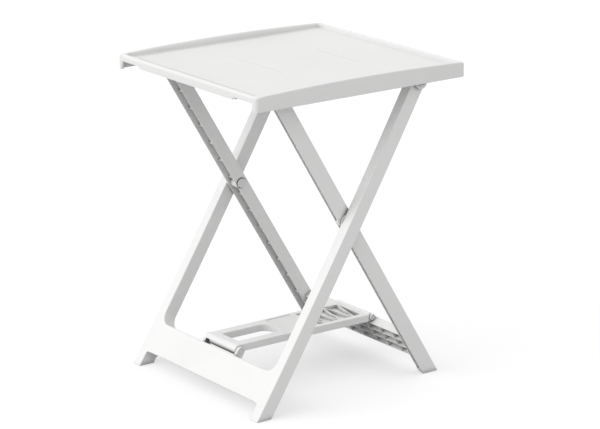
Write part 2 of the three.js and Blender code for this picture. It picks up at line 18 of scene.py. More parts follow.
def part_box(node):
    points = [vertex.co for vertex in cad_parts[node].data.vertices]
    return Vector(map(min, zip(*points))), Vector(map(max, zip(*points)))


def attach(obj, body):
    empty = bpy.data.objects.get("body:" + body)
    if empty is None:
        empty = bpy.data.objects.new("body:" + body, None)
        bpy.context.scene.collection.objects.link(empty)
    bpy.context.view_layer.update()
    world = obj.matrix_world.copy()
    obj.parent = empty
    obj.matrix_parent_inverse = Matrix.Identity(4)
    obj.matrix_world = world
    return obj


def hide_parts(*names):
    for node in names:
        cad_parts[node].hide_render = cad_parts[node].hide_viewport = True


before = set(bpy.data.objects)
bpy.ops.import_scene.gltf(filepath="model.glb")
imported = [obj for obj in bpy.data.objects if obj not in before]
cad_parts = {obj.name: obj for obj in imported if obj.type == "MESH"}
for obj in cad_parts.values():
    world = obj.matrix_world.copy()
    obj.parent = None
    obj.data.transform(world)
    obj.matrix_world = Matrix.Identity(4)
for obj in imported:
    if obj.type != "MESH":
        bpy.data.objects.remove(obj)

log = logging.getLogger("folding_table")

SIDES = (1, -1)

SAME = 1e-5  # places closer than this are one place
CLOSE = 1e-4
APART = 1e-3  # ends further apart than this belong to a long edge
ALONG = 0.99  # how much of a unit normal lies along an axis that it follows
BITE = 0.001  # how far shapes that are joined reach into each other
FINE_EDGE = 0.0003  # the widths of softened edges
EDGE = 0.0004
FIRM_EDGE = 0.0005
BROAD_EDGE = 0.0006
SOFT_EDGE = 0.0007
SMOOTH_BELOW = 40  # degrees between faces that are shaded as one surface


# ---------------------------------------------------------------- the bench


class Element(Enum):
    """What a selection picks out of a mesh."""

    POINTS = "VERT"
    EDGES = "EDGE"
    FACES = "FACE"


class Keep(Enum):
    """Which side of a slice stays."""

    BOTH = "both"
    AHEAD = "ahead"
    BEHIND = "behind"


Span = tuple[float, float]
PointTest = Callable[[Vector], bool]
FaceTest = Callable[[Vector, Vector], bool]
EdgeTest = Callable[[Vector, Vector], bool]


def clear_bench() -> None:
    """Leaves edit mode with nothing selected."""
    if bpy.context.mode != "OBJECT":
        bpy.ops.object.mode_set(mode="OBJECT")
    bpy.ops.object.select_all(action="DESELECT")


class Workpiece:
    """A mesh on the bench, shaped with edit-mode operators."""

    def __init__(self, made: bpy.types.Object) -> None:
        """Takes hold of an object that stands alone in the selection.

        Args:
            made: The object to shape.
        """
        self.object = made

    # -- starting shapes

    @classmethod
    def block(cls, name: str, x: Span, y: Span, z: Span) -> "Workpiece":
        """A block between two planes each way.

        Args:
            name: The object's name.
            x: Its lowest and highest X.
            y: Its lowest and highest Y.
            z: Its lowest and highest Z.

        Returns:
            The new workpiece, its object at the origin.
        """
        clear_bench()
        middle = [(low + high) / 2 for low, high in (x, y, z)]
        bpy.ops.mesh.primitive_cube_add(size=1, location=middle)
        made = bpy.context.object
        made.name = name
        made.scale = [high - low for low, high in (x, y, z)]
        return cls(made).settle()

    @classmethod
    def bar(cls, name: str, centre: Vector, radius: float, x: Span, sides: int = 40) -> "Workpiece":
        """A round bar along X.

        Args:
            name: The object's name.
            centre: A point on its axis.
            radius: Its radius.
            x: Its two ends.
            sides: How many facets it has.

        Returns:
            The new workpiece, its object at the origin.
        """
        clear_bench()
        bpy.ops.mesh.primitive_cylinder_add(
            vertices=sides,
            radius=radius,
            depth=x[1] - x[0],
            location=((x[0] + x[1]) / 2, centre.y, centre.z),
            rotation=(0, math.pi / 2, 0),
        )
        made = bpy.context.object
        made.name = name
        return cls(made).settle()

    @classmethod
    def sheet(cls, name: str, x: Span, y: Span, z: float) -> "Workpiece":
        """A flat rectangle that faces up.

        Args:
            name: The object's name.
            x: Its lowest and highest X.
            y: Its lowest and highest Y.
            z: Its height.

        Returns:
            The new workpiece, its object at the origin.
        """
        clear_bench()
        bpy.ops.mesh.primitive_plane_add(size=1, location=((x[0] + x[1]) / 2, (y[0] + y[1]) / 2, z))
        made = bpy.context.object
        made.name = name
        made.scale = (x[1] - x[0], y[1] - y[0], 1)
        return cls(made).settle()

    # -- state

    def hold(self) -> "Workpiece":
        """Leaves edit mode and makes this the only selected object.

        Returns:
            This workpiece.
        """
        clear_bench()
        self.object.select_set(True)
        bpy.context.view_layer.objects.active = self.object
        return self

    def settle(self) -> "Workpiece":
        """Moves the object's place into its mesh, so that it sits at the origin.

        Returns:
            This workpiece.
        """
        self.hold()
        bpy.ops.object.transform_apply(location=True, rotation=True, scale=True)
        return self

    def _open(self, kind: Element) -> bmesh.types.BMesh:
        """Enters edit mode with nothing selected.

        Args:
            kind: The element that the selection is made of.

        Returns:
            The mesh being edited.
        """
        self.hold()
        bpy.ops.object.mode_set(mode="EDIT")
        bpy.ops.mesh.select_mode(type=kind.value)
        bpy.ops.mesh.select_all(action="DESELECT")
        return bmesh.from_edit_mesh(self.object.data)

    def _close(self, mesh: bmesh.types.BMesh) -> "Workpiece":
        """Hands a selection made in code to the edit-mode operators.

        Args:
            mesh: The mesh being edited.

        Returns:
            This workpiece.
        """
        mesh.select_flush_mode()
        bmesh.update_edit_mesh(self.object.data)
        return self

    # -- selecting

    def points(self, test: PointTest) -> "Workpiece":
        """Selects points.

        Args:
            test: Told a point's place, says whether it is selected.

        Returns:
            This workpiece.
        """
        mesh = self._open(Element.POINTS)
        for point in mesh.verts:
            point.select_set(test(point.co))
        return self._close(mesh)

    def edges(self, test: EdgeTest) -> "Workpiece":
        """Selects edges.

        Args:
            test: Told an edge's two ends, says whether it is selected.

        Returns:
            This workpiece.
        """
        mesh = self._open(Element.EDGES)
        for edge in mesh.edges:
            edge.select_set(test(edge.verts[0].co, edge.verts[1].co))
        return self._close(mesh)

    def faces(self, test: FaceTest) -> "Workpiece":
        """Selects faces.

        Args:
            test: Told a face's middle and normal, says whether it is selected.

        Returns:
            This workpiece.
        """
        mesh = self._open(Element.FACES)
        for face in mesh.faces:
            face.select_set(test(face.calc_center_median(), face.normal))
        return self._close(mesh)

    # -- shaping what is selected

    def inset(self, thickness: float, depth: float = 0, each: bool = False) -> "Workpiece":
        """Insets the selected faces, as one region or one by one, and sinks them by -depth."""
        bpy.ops.mesh.inset(thickness=thickness, depth=depth, use_individual=each)
        return self

    def extrude(self, shift: Sequence[float]) -> "Workpiece":
        """Extrudes the selection by a shift."""
        bpy.ops.mesh.extrude_region_move(TRANSFORM_OT_translate={"value": tuple(shift)})
        return self

    def shift(self, by: Sequence[float]) -> "Workpiece":
        """Moves the selection."""
        bpy.ops.transform.translate(value=tuple(by))
        return self

    def widen(self, factor: float) -> "Workpiece":
        """Scales the selection across X, about the middle of the table."""
        bpy.ops.transform.resize(value=(factor, 1, 1), center_override=(0, 0, 0))
        return self

    def round(self, width: float, segments: int, corners: bool = False) -> "Workpiece":
        """Bevels the selected edges, or the selected corners of a sheet.

        Args:
            width: How far the bevel reaches.
            segments: How many strips round it.
            corners: Whether points are bevelled instead of edges.

        Returns:
            This workpiece.
        """
        affect = "VERTICES" if corners else "EDGES"
        bpy.ops.mesh.bevel(offset=width, segments=segments, affect=affect, clamp_overlap=False)
        return self

    def slice(self, at: Sequence[float], normal: Sequence[float], keep: Keep = Keep.BOTH) -> "Workpiece":
        """Cuts the whole mesh along a plane.

        Args:
            at: A point of the plane.
            normal: The plane's normal.
            keep: The side that stays. The cut is filled if a side goes.

        Returns:
            This workpiece.
        """
        self._open(Element.FACES)
        bpy.ops.mesh.select_all(action="SELECT")
        bpy.ops.mesh.bisect(
            plane_co=tuple(at),
            plane_no=tuple(normal),
            use_fill=keep is not Keep.BOTH,
            clear_inner=keep is Keep.AHEAD,
            clear_outer=keep is Keep.BEHIND,
        )
        return self

    def turn_outwards(self) -> "Workpiece":
        """Merges doubled points and points every face outwards.

        Returns:
            This workpiece.
        """
        self._open(Element.FACES)
        bpy.ops.mesh.select_all(action="SELECT")
        bpy.ops.mesh.remove_doubles(threshold=1e-6)
        bpy.ops.mesh.normals_make_consistent(inside=False)
        return self.hold()

    # -- whole-object steps

    def modify(self, kind: str, **settings: object) -> "Workpiece":
        """Adds a modifier, sets it and applies it.

        Args:
            kind: The modifier's type.
            settings: Its properties.

        Returns:
            This workpiece.
        """
        self.hold()
        bpy.ops.object.modifier_add(type=kind)
        modifier = self.object.modifiers[-1]
        for name, value in settings.items():
            setattr(modifier, name, value)
        bpy.ops.object.modifier_apply(modifier=modifier.name)
        return self

    def cut(self, *tools: "Workpiece") -> "Workpiece":
        """Cuts other shapes out of this one and discards them.

        Args:
            tools: The shapes to cut out.

        Returns:
            This workpiece.
        """
        for tool in tools:
            tool.hold()
            self.modify("BOOLEAN", operation="DIFFERENCE", solver="EXACT", object=tool.object)
            bpy.data.objects.remove(tool.object)
        return self

    def take(self, others: Iterable["Workpiece"]) -> "Workpiece":
        """Joins other workpieces to this one as further shells of one mesh.

        Args:
            others: The workpieces.

        Returns:
            This workpiece.
        """
        self.hold()
        for other in others:
            other.object.select_set(True)
        bpy.ops.object.join()
        return self

    def copy(self, by: Sequence[float] = (0, 0, 0), mirrored: bool = False) -> "Workpiece":
        """A copy with its own mesh.

        Args:
            by: How far it is moved.
            mirrored: Whether it is the mirror image across X.

        Returns:
            The copy, its object at the origin.
        """
        self.hold()
        bpy.ops.object.duplicate(linked=False)
        twin = Workpiece(bpy.context.object)
        twin.object.location = by
        if mirrored:
            twin.object.scale = (-1, 1, 1)
        twin.settle()
        return twin.turn_outwards() if mirrored else twin

    def place(self, turn: Matrix) -> "Workpiece":
        """Carries the mesh from its own frame into the table's.

        Args:
            turn: Where its frame stands.

        Returns:
            This workpiece.
        """
        self.hold()
        self.object.matrix_world = turn
        return self.settle()

    def soften(self, width: float, segments: int = 2, angle: float = 50) -> "Workpiece":
        """Rounds every sharp edge a little, as a mould does.

        Args:
            width: How far each edge is rounded.
            segments: How many strips round it.
            angle: The least angle between faces that counts as sharp, in degrees.

        Returns:
            This workpiece.
        """
        return self.modify(
            "BEVEL",
            width=width,
            segments=segments,
            limit_method="ANGLE",
            angle_limit=math.radians(angle),
            use_clamp_overlap=False,
            harden_normals=False,
        )

    def finish(self, body: str, node: str, slot: str, look: bpy.types.Material) -> bpy.types.Object:
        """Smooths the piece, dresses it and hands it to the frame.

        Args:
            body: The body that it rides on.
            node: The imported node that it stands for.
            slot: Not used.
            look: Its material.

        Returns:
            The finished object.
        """
        self.hold()
        bpy.ops.object.shade_smooth_by_angle(angle=math.radians(SMOOTH_BELOW))
        self.modify("WEIGHTED_NORMAL", keep_sharp=True, mode="FACE_AREA")
        self.object.data.materials.clear()
        self.object.data.materials.append(look)
        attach(self.object, body)
        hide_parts(node)
        triangles = sum(len(face.vertices) - 2 for face in self.object.data.polygons)
        log.info("%s stands for %s on %s: %d triangles", self.object.name, node, body, triangles)
        return self.object


def evenly(low: float, high: float, pitch: float) -> list[float]:
    """Divides a length into equal bays.

    Args:
        low: One end.
        high: The other end.
        pitch: About how long a bay is.

    Returns:
        The places between the bays, without the two ends.
    """
    bays = max(1, round((high - low) / pitch))
    return [low + (high - low) * step / bays for step in range(1, bays)]


def on_both_sides(pieces: Sequence[Workpiece]) -> list[Workpiece]:
    """Pieces made for the right side, and their mirror images."""
    return [*pieces, *(piece.copy(mirrored=True) for piece in pieces)]


# ---------------------------------------------------------------- finishes


class Socket(Enum):
    """The kinds of socket that the shader groups use."""

    VALUE = "NodeSocketFloat"
    VECTOR = "NodeSocketVector"


class ShaderGroup:
    """A shader node group with named inputs and outputs."""

    def __init__(self, name: str, inputs: dict[str, Socket], outputs: dict[str, Socket]) -> None:
        """Makes the group's sockets.

        Args:
            name: The group's name.
            inputs: Its inputs and their kinds.
            outputs: Its outputs and their kinds.
        """
        self.tree = bpy.data.node_groups.new(name, "ShaderNodeTree")
        for way, sockets in (("INPUT", inputs), ("OUTPUT", outputs)):
            for label, kind in sockets.items():
                self.tree.interface.new_socket(label, in_out=way, socket_type=kind.value)
        self.given = self.add("NodeGroupInput").outputs
        self.result = self.add("NodeGroupOutput").inputs

    def add(self, kind: str, **settings: object) -> bpy.types.Node:
        """Adds a node.

        Args:
            kind: The node's type.
            settings: Its properties.

        Returns:
            The node.
        """
        node = self.tree.nodes.new(kind)
        for name, value in settings.items():
            setattr(node, name, value)
        return node

    def link(self, source: bpy.types.NodeSocket, target: bpy.types.NodeSocket) -> None:
        """Joins two sockets."""
        self.tree.links.new(source, target)

    def math(self, operation: str, *values: object) -> bpy.types.NodeSocket:
        """Adds a Math node.

        Args:
            operation: What it does.
            values: Its inputs, each a number or a socket.

        Returns:
            Its output.
        """
        node = self.add("ShaderNodeMath", operation=operation)
        for socket, value in zip(node.inputs, values):
            if isinstance(value, bpy.types.NodeSocket):
                self.link(value, socket)
            else:
                socket.default_value = value
        return node.outputs[0]

    def noise(self, vector: bpy.types.NodeSocket, scale: object, detail: float) -> bpy.types.NodeSocket:
        """Adds a noise.

        Args:
            vector: The place that it is read at.
            scale: Its scale, a number or a socket.
            detail: How many finer layers it has.

        Returns:
            Its value, from 0 to 1.
        """
        node = self.add("ShaderNodeTexNoise")
        self.link(vector, node.inputs["Vector"])
        if isinstance(scale, bpy.types.NodeSocket):
            self.link(scale, node.inputs["Scale"])
        else:
            node.inputs["Scale"].default_value = scale
        node.inputs["Detail"].default_value = detail
        return node.outputs["Fac"]


@dataclass(frozen=True)
class SharedEffects:
    """The shader groups that every finish uses."""

    grain: bpy.types.NodeTree
    wear: bpy.types.NodeTree
    dust: bpy.types.NodeTree
    painted_shade: bpy.types.NodeTree

    @classmethod
    def build(cls) -> "SharedEffects":
        """Builds each group once."""
        return cls(cls._grain(), cls._wear(), cls._dust(), cls._painted_shade_group())

    @staticmethod
    def _grain() -> bpy.types.NodeTree:
        """The fine texture of a spark-eroded mould, with slow drifts in tone.

        Returns:
            The group.
        """
        group = ShaderGroup(
            "mould_grain",
            {"Vector": Socket.VECTOR, "Scale": Socket.VALUE},
            {"Height": Socket.VALUE, "Tone": Socket.VALUE},
        )
        vector, scale = group.given["Vector"], group.given["Scale"]
        pores = group.add("ShaderNodeTexVoronoi", feature="SMOOTH_F1")
        group.link(vector, pores.inputs["Vector"])
        group.link(scale, pores.inputs["Scale"])
        fine = group.noise(vector, group.math("MULTIPLY", scale, 1.7), 3)
        height = group.math("ADD", group.math("MULTIPLY", pores.outputs["Distance"], 0.6), fine)
        group.link(height, group.result["Height"])
        drift = group.noise(vector, 9.0, 3)
        group.link(group.math("MULTIPLY_ADD", fine, 0.25, drift), group.result["Tone"])
        return group.tree

    @staticmethod
    def _wear() -> bpy.types.NodeTree:
        """Where edges are rubbed, broken up along their length.

        Returns:
            The group.
        """
        group = ShaderGroup(
            "edge_wear",
            {"Vector": Socket.VECTOR, "Radius": Socket.VALUE},
            {"Mask": Socket.VALUE},
        )
        rounded = group.add("ShaderNodeBevel", samples=4)
        group.link(group.given["Radius"], rounded.inputs["Radius"])
        surface = group.add("ShaderNodeNewGeometry")
        likeness = group.add("ShaderNodeVectorMath", operation="DOT_PRODUCT")
        group.link(rounded.outputs["Normal"], likeness.inputs[0])
        group.link(surface.outputs["Normal"], likeness.inputs[1])
        edge = group.math("MULTIPLY", group.math("SUBTRACT", 1.0, likeness.outputs["Value"]), 9.0)
        patches = group.noise(group.given["Vector"], 55.0, 4)
        broken = group.math("MULTIPLY", edge, group.math("MULTIPLY", patches, 1.6))
        group.link(group.math("MINIMUM", broken, 1.0), group.result["Mask"])
        return group.tree

    @staticmethod
    def _dust() -> bpy.types.NodeTree:
        """Where dust and handling marks settle: on what faces up, in patches.

        Returns:
            The group.
        """
        group = ShaderGroup("settled_dust", {"Vector": Socket.VECTOR}, {"Mask": Socket.VALUE})
        surface = group.add("ShaderNodeNewGeometry")
        parts = group.add("ShaderNodeSeparateXYZ")
        group.link(surface.outputs["Normal"], parts.inputs[0])
        up = group.math("MAXIMUM", parts.outputs["Z"], 0.15)
        patches = group.noise(group.given["Vector"], 14.0, 6)
        group.link(group.math("MULTIPLY", up, patches), group.result["Mask"])
        return group.tree

    @staticmethod
    def _painted_shade_group() -> bpy.types.NodeTree:
        """Painted shade in channels, slots and pockets: the colour is darkened where ambient occlusion
        finds a hollow, broken up in patches.

        Returns:
            The group.
        """
        group = ShaderGroup(
            "crevice_painted_shade",
            {"Vector": Socket.VECTOR, "Reach": Socket.VALUE},
            {"Mask": Socket.VALUE},
        )
        # Ambient occlusion drives this mask, so it paints shade into the base colour.
        hollow = group.add("ShaderNodeAmbientOcclusion", samples=6)
        group.link(group.given["Reach"], hollow.inputs["Distance"])
        depth = group.math("SUBTRACT", 0.85, hollow.outputs["AO"])
        patches = group.noise(group.given["Vector"], 30.0, 3)
        patchy_shade = group.math("MULTIPLY", depth, group.math("MULTIPLY_ADD", patches, 0.8, 1.2))
        group.link(group.math("MINIMUM", group.math("MAXIMUM", patchy_shade, 0.0), 1.0), group.result["Mask"])
        return group.tree


@dataclass(frozen=True)
class MouldedPlastic:
    """A satin moulded polypropylene."""

    name: str
    colour: tuple[float, float, float]
    worn: tuple[float, float, float]
    roughness: float
    grain_scale: float
    grain_depth: float
    wear_radius: float = 0.0012
    tone_spread: float = 0.035
    # The dark colour of the painted shade in crevices, and how far its occlusion reaches.
    shade_colour: tuple[float, float, float] = (0.20, 0.20, 0.195)
    shade_reach: float = 0.014

    def build(self, effects: SharedEffects) -> bpy.types.Material:
        """Makes the material.

        Args:
            effects: The shared shader groups.

        Returns:
            The material.
        """
        material = bpy.data.materials.new(self.name)
        material.use_nodes = True
        nodes, links = material.node_tree.nodes, material.node_tree.links
        shader = next(node for node in nodes if node.type == "BSDF_PRINCIPLED")
        shader.inputs["IOR"].default_value = 1.49
        place = nodes.new("ShaderNodeTexCoord").outputs["Object"]

        def group(tree: bpy.types.NodeTree, **values: float) -> bpy.types.Node:
            """Places a shared group, fed by object coordinates.

            Args:
                tree: The shared group.
                values: Its inputs.

            Returns:
                The group's node.
            """
            node = nodes.new("ShaderNodeGroup")
            node.node_tree = tree
            links.new(place, node.inputs["Vector"])
            for label, value in values.items():
                node.inputs[label].default_value = value
            return node

        grain = group(effects.grain, Scale=self.grain_scale)
        wear = group(effects.wear, Radius=self.wear_radius)
        dust = group(effects.dust)
        painted_shade = group(effects.painted_shade, Reach=self.shade_reach)

        tone = nodes.new("ShaderNodeMapRange")
        tone.inputs["From Min"].default_value = 0.4
        tone.inputs["From Max"].default_value = 0.85
        tone.inputs["To Min"].default_value = 1 - self.tone_spread
        tone.inputs["To Max"].default_value = 1
        links.new(grain.outputs["Tone"], tone.inputs["Value"])

        worn = nodes.new("ShaderNodeMix")
        worn.data_type = "RGBA"
        worn.inputs["A"].default_value = (*self.colour, 1)
        worn.inputs["B"].default_value = (*self.worn, 1)
        links.new(wear.outputs["Mask"], worn.inputs["Factor"])

        # Painted shade: the base colour darkens in crevices, where ambient occlusion finds them.
        shade_mixed = nodes.new("ShaderNodeMix")
        shade_mixed.data_type = "RGBA"
        shade_mixed.inputs["B"].default_value = (*self.shade_colour, 1)
        links.new(worn.outputs["Result"], shade_mixed.inputs["A"])
        links.new(painted_shade.outputs["Mask"], shade_mixed.inputs["Factor"])

        shaded = nodes.new("ShaderNodeVectorMath")
        shaded.operation = "SCALE"
        links.new(shade_mixed.outputs["Result"], shaded.inputs[0])
        links.new(tone.outputs["Result"], shaded.inputs["Scale"])
        links.new(shaded.outputs["Vector"], shader.inputs["Base Color"])

        rough = nodes.new("ShaderNodeMapRange")
        rough.inputs["To Min"].default_value = self.roughness - 0.05
        rough.inputs["To Max"].default_value = self.roughness + 0.16
        links.new(dust.outputs["Mask"], rough.inputs["Value"])
        links.new(rough.outputs["Result"], shader.inputs["Roughness"])

        bump = nodes.new("ShaderNodeBump")
        bump.inputs["Strength"].default_value = 0.5
        bump.inputs["Distance"].default_value = self.grain_depth
        links.new(grain.outputs["Height"], bump.inputs["Height"])
        links.new(bump.outputs["Normal"], shader.inputs["Normal"])
        return material


@dataclass
class Finishes:
    """Every finish of the table."""

    effects: SharedEffects
    tray: MouldedPlastic = MouldedPlastic(
        "tray_polypropylene", (0.71, 0.71, 0.705), (0.64, 0.64, 0.635), 0.46, 900, 0.00012
    )
    frames: MouldedPlastic = MouldedPlastic(
        "frame_polypropylene", (0.75, 0.75, 0.745), (0.68, 0.68, 0.675), 0.40, 1100, 0.00008
    )
    link: MouldedPlastic = MouldedPlastic(
        "link_polypropylene", (0.75, 0.75, 0.745), (0.68, 0.68, 0.675), 0.38, 1300, 0.00006
    )
    pins: MouldedPlastic = MouldedPlastic(
        "pin_acetal", (0.72, 0.72, 0.715), (0.63, 0.63, 0.625), 0.30, 1800, 0.00004
    )


# ---------------------------------------------------------------- where everything is


def middle_of(node: str) -> Vector:
    """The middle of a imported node's box."""
    low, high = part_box(node)
    return (Vector(low) + Vector(high)) / 2


@dataclass(frozen=True)
class Layout:
    """The places that the pieces share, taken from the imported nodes."""

    lean: float = math.radians(31.3)  # of both frames from the vertical
    clip_radius: float = 0.0097
    top_hinge: Vector = field(default_factory=lambda: middle_of("top_hinge_pin_right"))
    pivot: Vector = field(default_factory=lambda: middle_of("pivot_pin_right"))
    link_hinge: Vector = field(default_factory=lambda: middle_of("link_hinge_rod"))

    @property
    def bead(self) -> Vector:
        """The middle of the catch bead, from the clip that wraps it."""
        high = Vector(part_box("tie_link")[1])
        return Vector((0, high.y - self.clip_radius, high.z - self.clip_radius))

    @property
    def leg_length(self) -> float:
        """The floor to the top hinge, along either leg."""
        return self.top_hinge.z / math.cos(self.lean)

    @property
    def outer_frame(self) -> Matrix:
        """The outer frame's own frame: across, behind its chord, and up it from the floor."""
        foot = self.top_hinge.y - self.leg_length * math.sin(self.lean)
        return Matrix.Translation((0, foot, 0)) @ Matrix.Rotation(-self.lean, 4, "X")

    @property
    def inner_frame(self) -> Matrix:
        """The inner frame's own frame: across, behind its middle, and up it from the floor."""
        foot = self.pivot.y + self.pivot.z * math.tan(self.lean)
        return Matrix.Translation((0, foot, 0)) @ Matrix.Rotation(self.lean, 4, "X")


# ---------------------------------------------------------------- tabletop


@dataclass
class Tabletop:
    """The tray: a shallow recess inside a lip, with skirts, ribs and hinge lugs beneath."""

    layout: Layout
    look: bpy.types.Material
    half_width: float = 0.215
    half_length: float = 0.232
    rim: float = 0.595  # height of the rim at the corners
    crown: float = 0.005  # how far the side lips rise at the middle of their length
    corner: float = 0.018  # of the sheet that the skin starts as
    corner_steps: int = 10
    outer_corner: float = 0.006  # of the finished outline
    recess_corner: float = 0.009  # inside the lip
    wall: float = 0.003
    recess: float = 0.007  # rim down to the tray's surface
    end_roll: float = 0.005  # rounding of the rim along the front and back edges
    side_roll: float = 0.0018
    field_inset: float = 0.025
    field_rise: float = 0.0008
    skirt: float = 0.027  # rim down to the lower edge of the side skirts
    end_skirt: float = 0.0162
    notch: float = 0.0117  # rim down to the top of the notches for the folded legs
    notch_span: Span = (0.150, 0.2015)
    notch_slope: float = 0.006
    notch_draft: float = 0.0025  # how far the notch's outer side leans
    rib_depth: float = 0.005
    rib_wall: float = 0.0018
    rib_pitch: float = 0.050
    mark_height: float = 0.0003
    mark_width: float = 0.0014
    crown_steps: int = 18
    skirt_cuts: tuple[float, ...] = (0.09, 0.03)  # where the long skirts are divided further
    field_corner: float = 0.009
    field_sink: float = 0.001  # of the field's lower face, inside the tray's floor
    mark_edge: float = 0.00028
    marks: tuple[tuple[Span, float], ...] = (((-0.095, 0.065), -0.066), ((-0.044, 0.073), 0.094))
    lug: Span = (0.200, 0.206)
    lug_radius: float = 0.012
    lug_hole: float = 0.0043
    web_above: float = 0.0075  # the hinge, where the lug's web begins
    seat_half: float = 0.012
    seat_gap: float = 0.0004
    seat_width: float = 0.022
    leg_round: float = 0.015  # of the inner leg's top
    stop: Span = (0.017, 0.019)  # behind the middle of the seat

    # How much of the lip's height is left at distances in from the outline.
    lip_profile = (
        (0.0006, 1.0), (0.0014, 1.0), (0.0026, 1.0), (0.0040, 1.0), (0.0055, 1.0), (0.0080, 1.0),
        (0.0088, 0.92), (0.0093, 0.72), (0.0098, 0.42), (0.0104, 0.18), (0.0113, 0.05), (0.0125, 0.0),
    )

    @property
    def surface(self) -> float:
        """The height of the tray's border."""
        return self.rim - self.recess

    @property
    def underside(self) -> float:
        """The height of the tray floor's lower face."""
        return self.surface - self.wall

    def _beyond_corner(self, place: Vector) -> tuple[float, float]:
        """How far a place lies past the middles of the corner rounds.

        Args:
            place: The place.

        Returns:
            The distance along X and along Y.
        """
        past_x = abs(place.x) - (self.half_width - self.corner)
        past_y = abs(place.y) - (self.half_length - self.corner)
        return past_x, past_y

    def inward(self, place: Vector) -> float:
        """How far a place lies inside the rounded outline.

        Args:
            place: The place.

        Returns:
            The distance, below 0 outside the outline.
        """
        past_x, past_y = self._beyond_corner(place)
        outside = math.hypot(max(past_x, 0), max(past_y, 0)) + min(max(past_x, past_y), 0)
        return self.corner - outside

    def endness(self, place: Vector) -> float:
        """How much a place belongs to the front or back edge.

        Args:
            place: The place.

        Returns:
            1 along those edges, 0 along the sides, and between them round a corner.
        """
        past_x, past_y = self._beyond_corner(place)
        if past_x > 0 and past_y > 0:
            return past_y**2 / (past_x**2 + past_y**2)
        return 1.0 if past_y > past_x else 0.0

    def lip_share(self, inset: float) -> float:
        """How much of the lip's height is left.

        Args:
            inset: The distance in from the outline.

        Returns:
            The share, from 0 to 1.
        """
        points = [(0.0, 1.0), *self.lip_profile]
        for (near, high), (far, low) in zip(points, points[1:]):
            if inset <= far:
                return high + (low - high) * max(0.0, inset - near) / (far - near)
        return 0.0

    def height_at(self, place: Vector) -> float:
        """The height of the tray's upper surface.

        Args:
            place: The place, whose height isn't read.

        Returns:
            The height.
        """
        inset = self.inward(place)
        end = self.endness(place)
        roll = self.side_roll + (self.end_roll - self.side_roll) * end
        drop = roll - math.sqrt(max(0.0, roll**2 - max(0.0, roll - inset) ** 2))
        along = place.y / (self.half_length - self.end_roll)
        rise = self.crown * max(0.0, 1 - along**2) * (1 - end)
        return self.surface + self.lip_share(inset) * (self.recess + rise) - drop

    def skirt_bottom(self, place: Vector) -> float:
        """The height of the skirt's lower edge: deep at the sides, notched for the folded legs.

        Args:
            place: A place on the outline.

        Returns:
            The height.
        """
        inside, outside = self.notch_span
        across = abs(place.x)
        if across > outside:
            deep = min(1.0, (across - outside) / self.notch_draft)
            return self.rim - self.notch - (self.skirt - self.notch) * deep
        if across > inside - CLOSE:
            return self.rim - self.notch
        slope = min(1.0, (inside - across) / self.notch_slope)
        return self.rim - self.notch - (self.end_skirt - self.notch) * slope

    def _shell(self) -> Workpiece:
        """The tray's skin: a rounded sheet, ringed by insets, raised, skirted and thickened.

        Returns:
            The skin.
        """
        wide, long = self.half_width, self.half_length
        skin = Workpiece.sheet("tabletop_moulding", (-wide, wide), (-long, long), self.rim)
        skin.points(lambda at: True).round(self.corner, self.corner_steps, corners=True)
        skin.faces(lambda at, normal: True)
        before = 0.0
        for inset, _share in self.lip_profile:
            skin.inset(inset - before)
            before = inset
        inside, outside = self.notch_span
        notch_cuts = (outside + self.notch_draft, outside, inside, inside - self.notch_slope)
        for across in (*notch_cuts, *self.skirt_cuts):
            for side in SIDES:
                skin.slice((side * across, 0, 0), (1, 0, 0))
        reach = long - self.corner - self.side_roll
        for along in evenly(-reach, reach, 2 * reach / self.crown_steps):
            skin.slice((0, along, 0), (0, 1, 0))
        skin.hold()
        for point in skin.object.data.vertices:
            point.co.z = self.height_at(point.co)
        self._hang_skirt(skin)
        skin.modify("SOLIDIFY", thickness=self.wall, offset=-1, use_even_offset=True)
        return self._square_corners(skin.soften(FINE_EDGE, 2, 60))

    def _square_corners(self, skin: Workpiece) -> Workpiece:
        """Draws the outline's round corners out to tighter ones, and leaves the recess as it is.

        Args:
            skin: The finished skin.

        Returns:
            The skin.
        """
        for point in skin.object.data.vertices:
            past_x, past_y = self._beyond_corner(point.co)
            reach = math.hypot(past_x, past_y)
            if min(past_x, past_y) <= 0 or reach <= self.recess_corner:
                continue
            share = (reach - self.recess_corner) / (self.corner - self.recess_corner)
            drawn = self._tight_corner(past_x / reach, past_y / reach) / self.corner
            factor = 1 + (drawn - 1) * min(1.0, share)
            point.co.x += math.copysign(past_x * (factor - 1), point.co.x)
            point.co.y += math.copysign(past_y * (factor - 1), point.co.y)
        return skin

    def _tight_corner(self, across: float, along: float) -> float:
        """How far the finished outline lies from the middle of the sheet's corner round.

        Args:
            across: The X part of a unit direction, above 0.
            along: Its Y part, above 0.

        Returns:
            The distance in that direction.
        """
        straight = self.corner - self.outer_corner
        low, high = sorted((across, along))
        if low * self.corner / high <= straight:
            return self.corner / high
        middle = straight * (across + along)
        return middle + math.sqrt(middle**2 - 2 * straight**2 + self.outer_corner**2)

    def _hang_skirt(self, skin: Workpiece) -> None:
        """Extrudes the skin's outline down to the skirt's lower edge.

        Args:
            skin: The raised skin.
        """
        def on_outline(at: Vector) -> bool:
            """Whether a place is on the outline."""
            return self.inward(at) < SAME

        skin.edges(lambda a, b: on_outline(a) and on_outline(b)).extrude((0, 0, 0))
        skin.hold()
        outline = {index for edge in self._open_edges(skin) for index in edge}
        for index in outline:
            point = skin.object.data.vertices[index].co
            point.z = self.skirt_bottom(point)
        skin.faces(lambda at, normal: True)
        bpy.ops.mesh.normals_make_consistent(inside=False)
        skin.hold()
        if sum(face.normal.z * face.area for face in skin.object.data.polygons) < 0:
            skin.faces(lambda at, normal: True)
            bpy.ops.mesh.flip_normals()
            skin.hold()

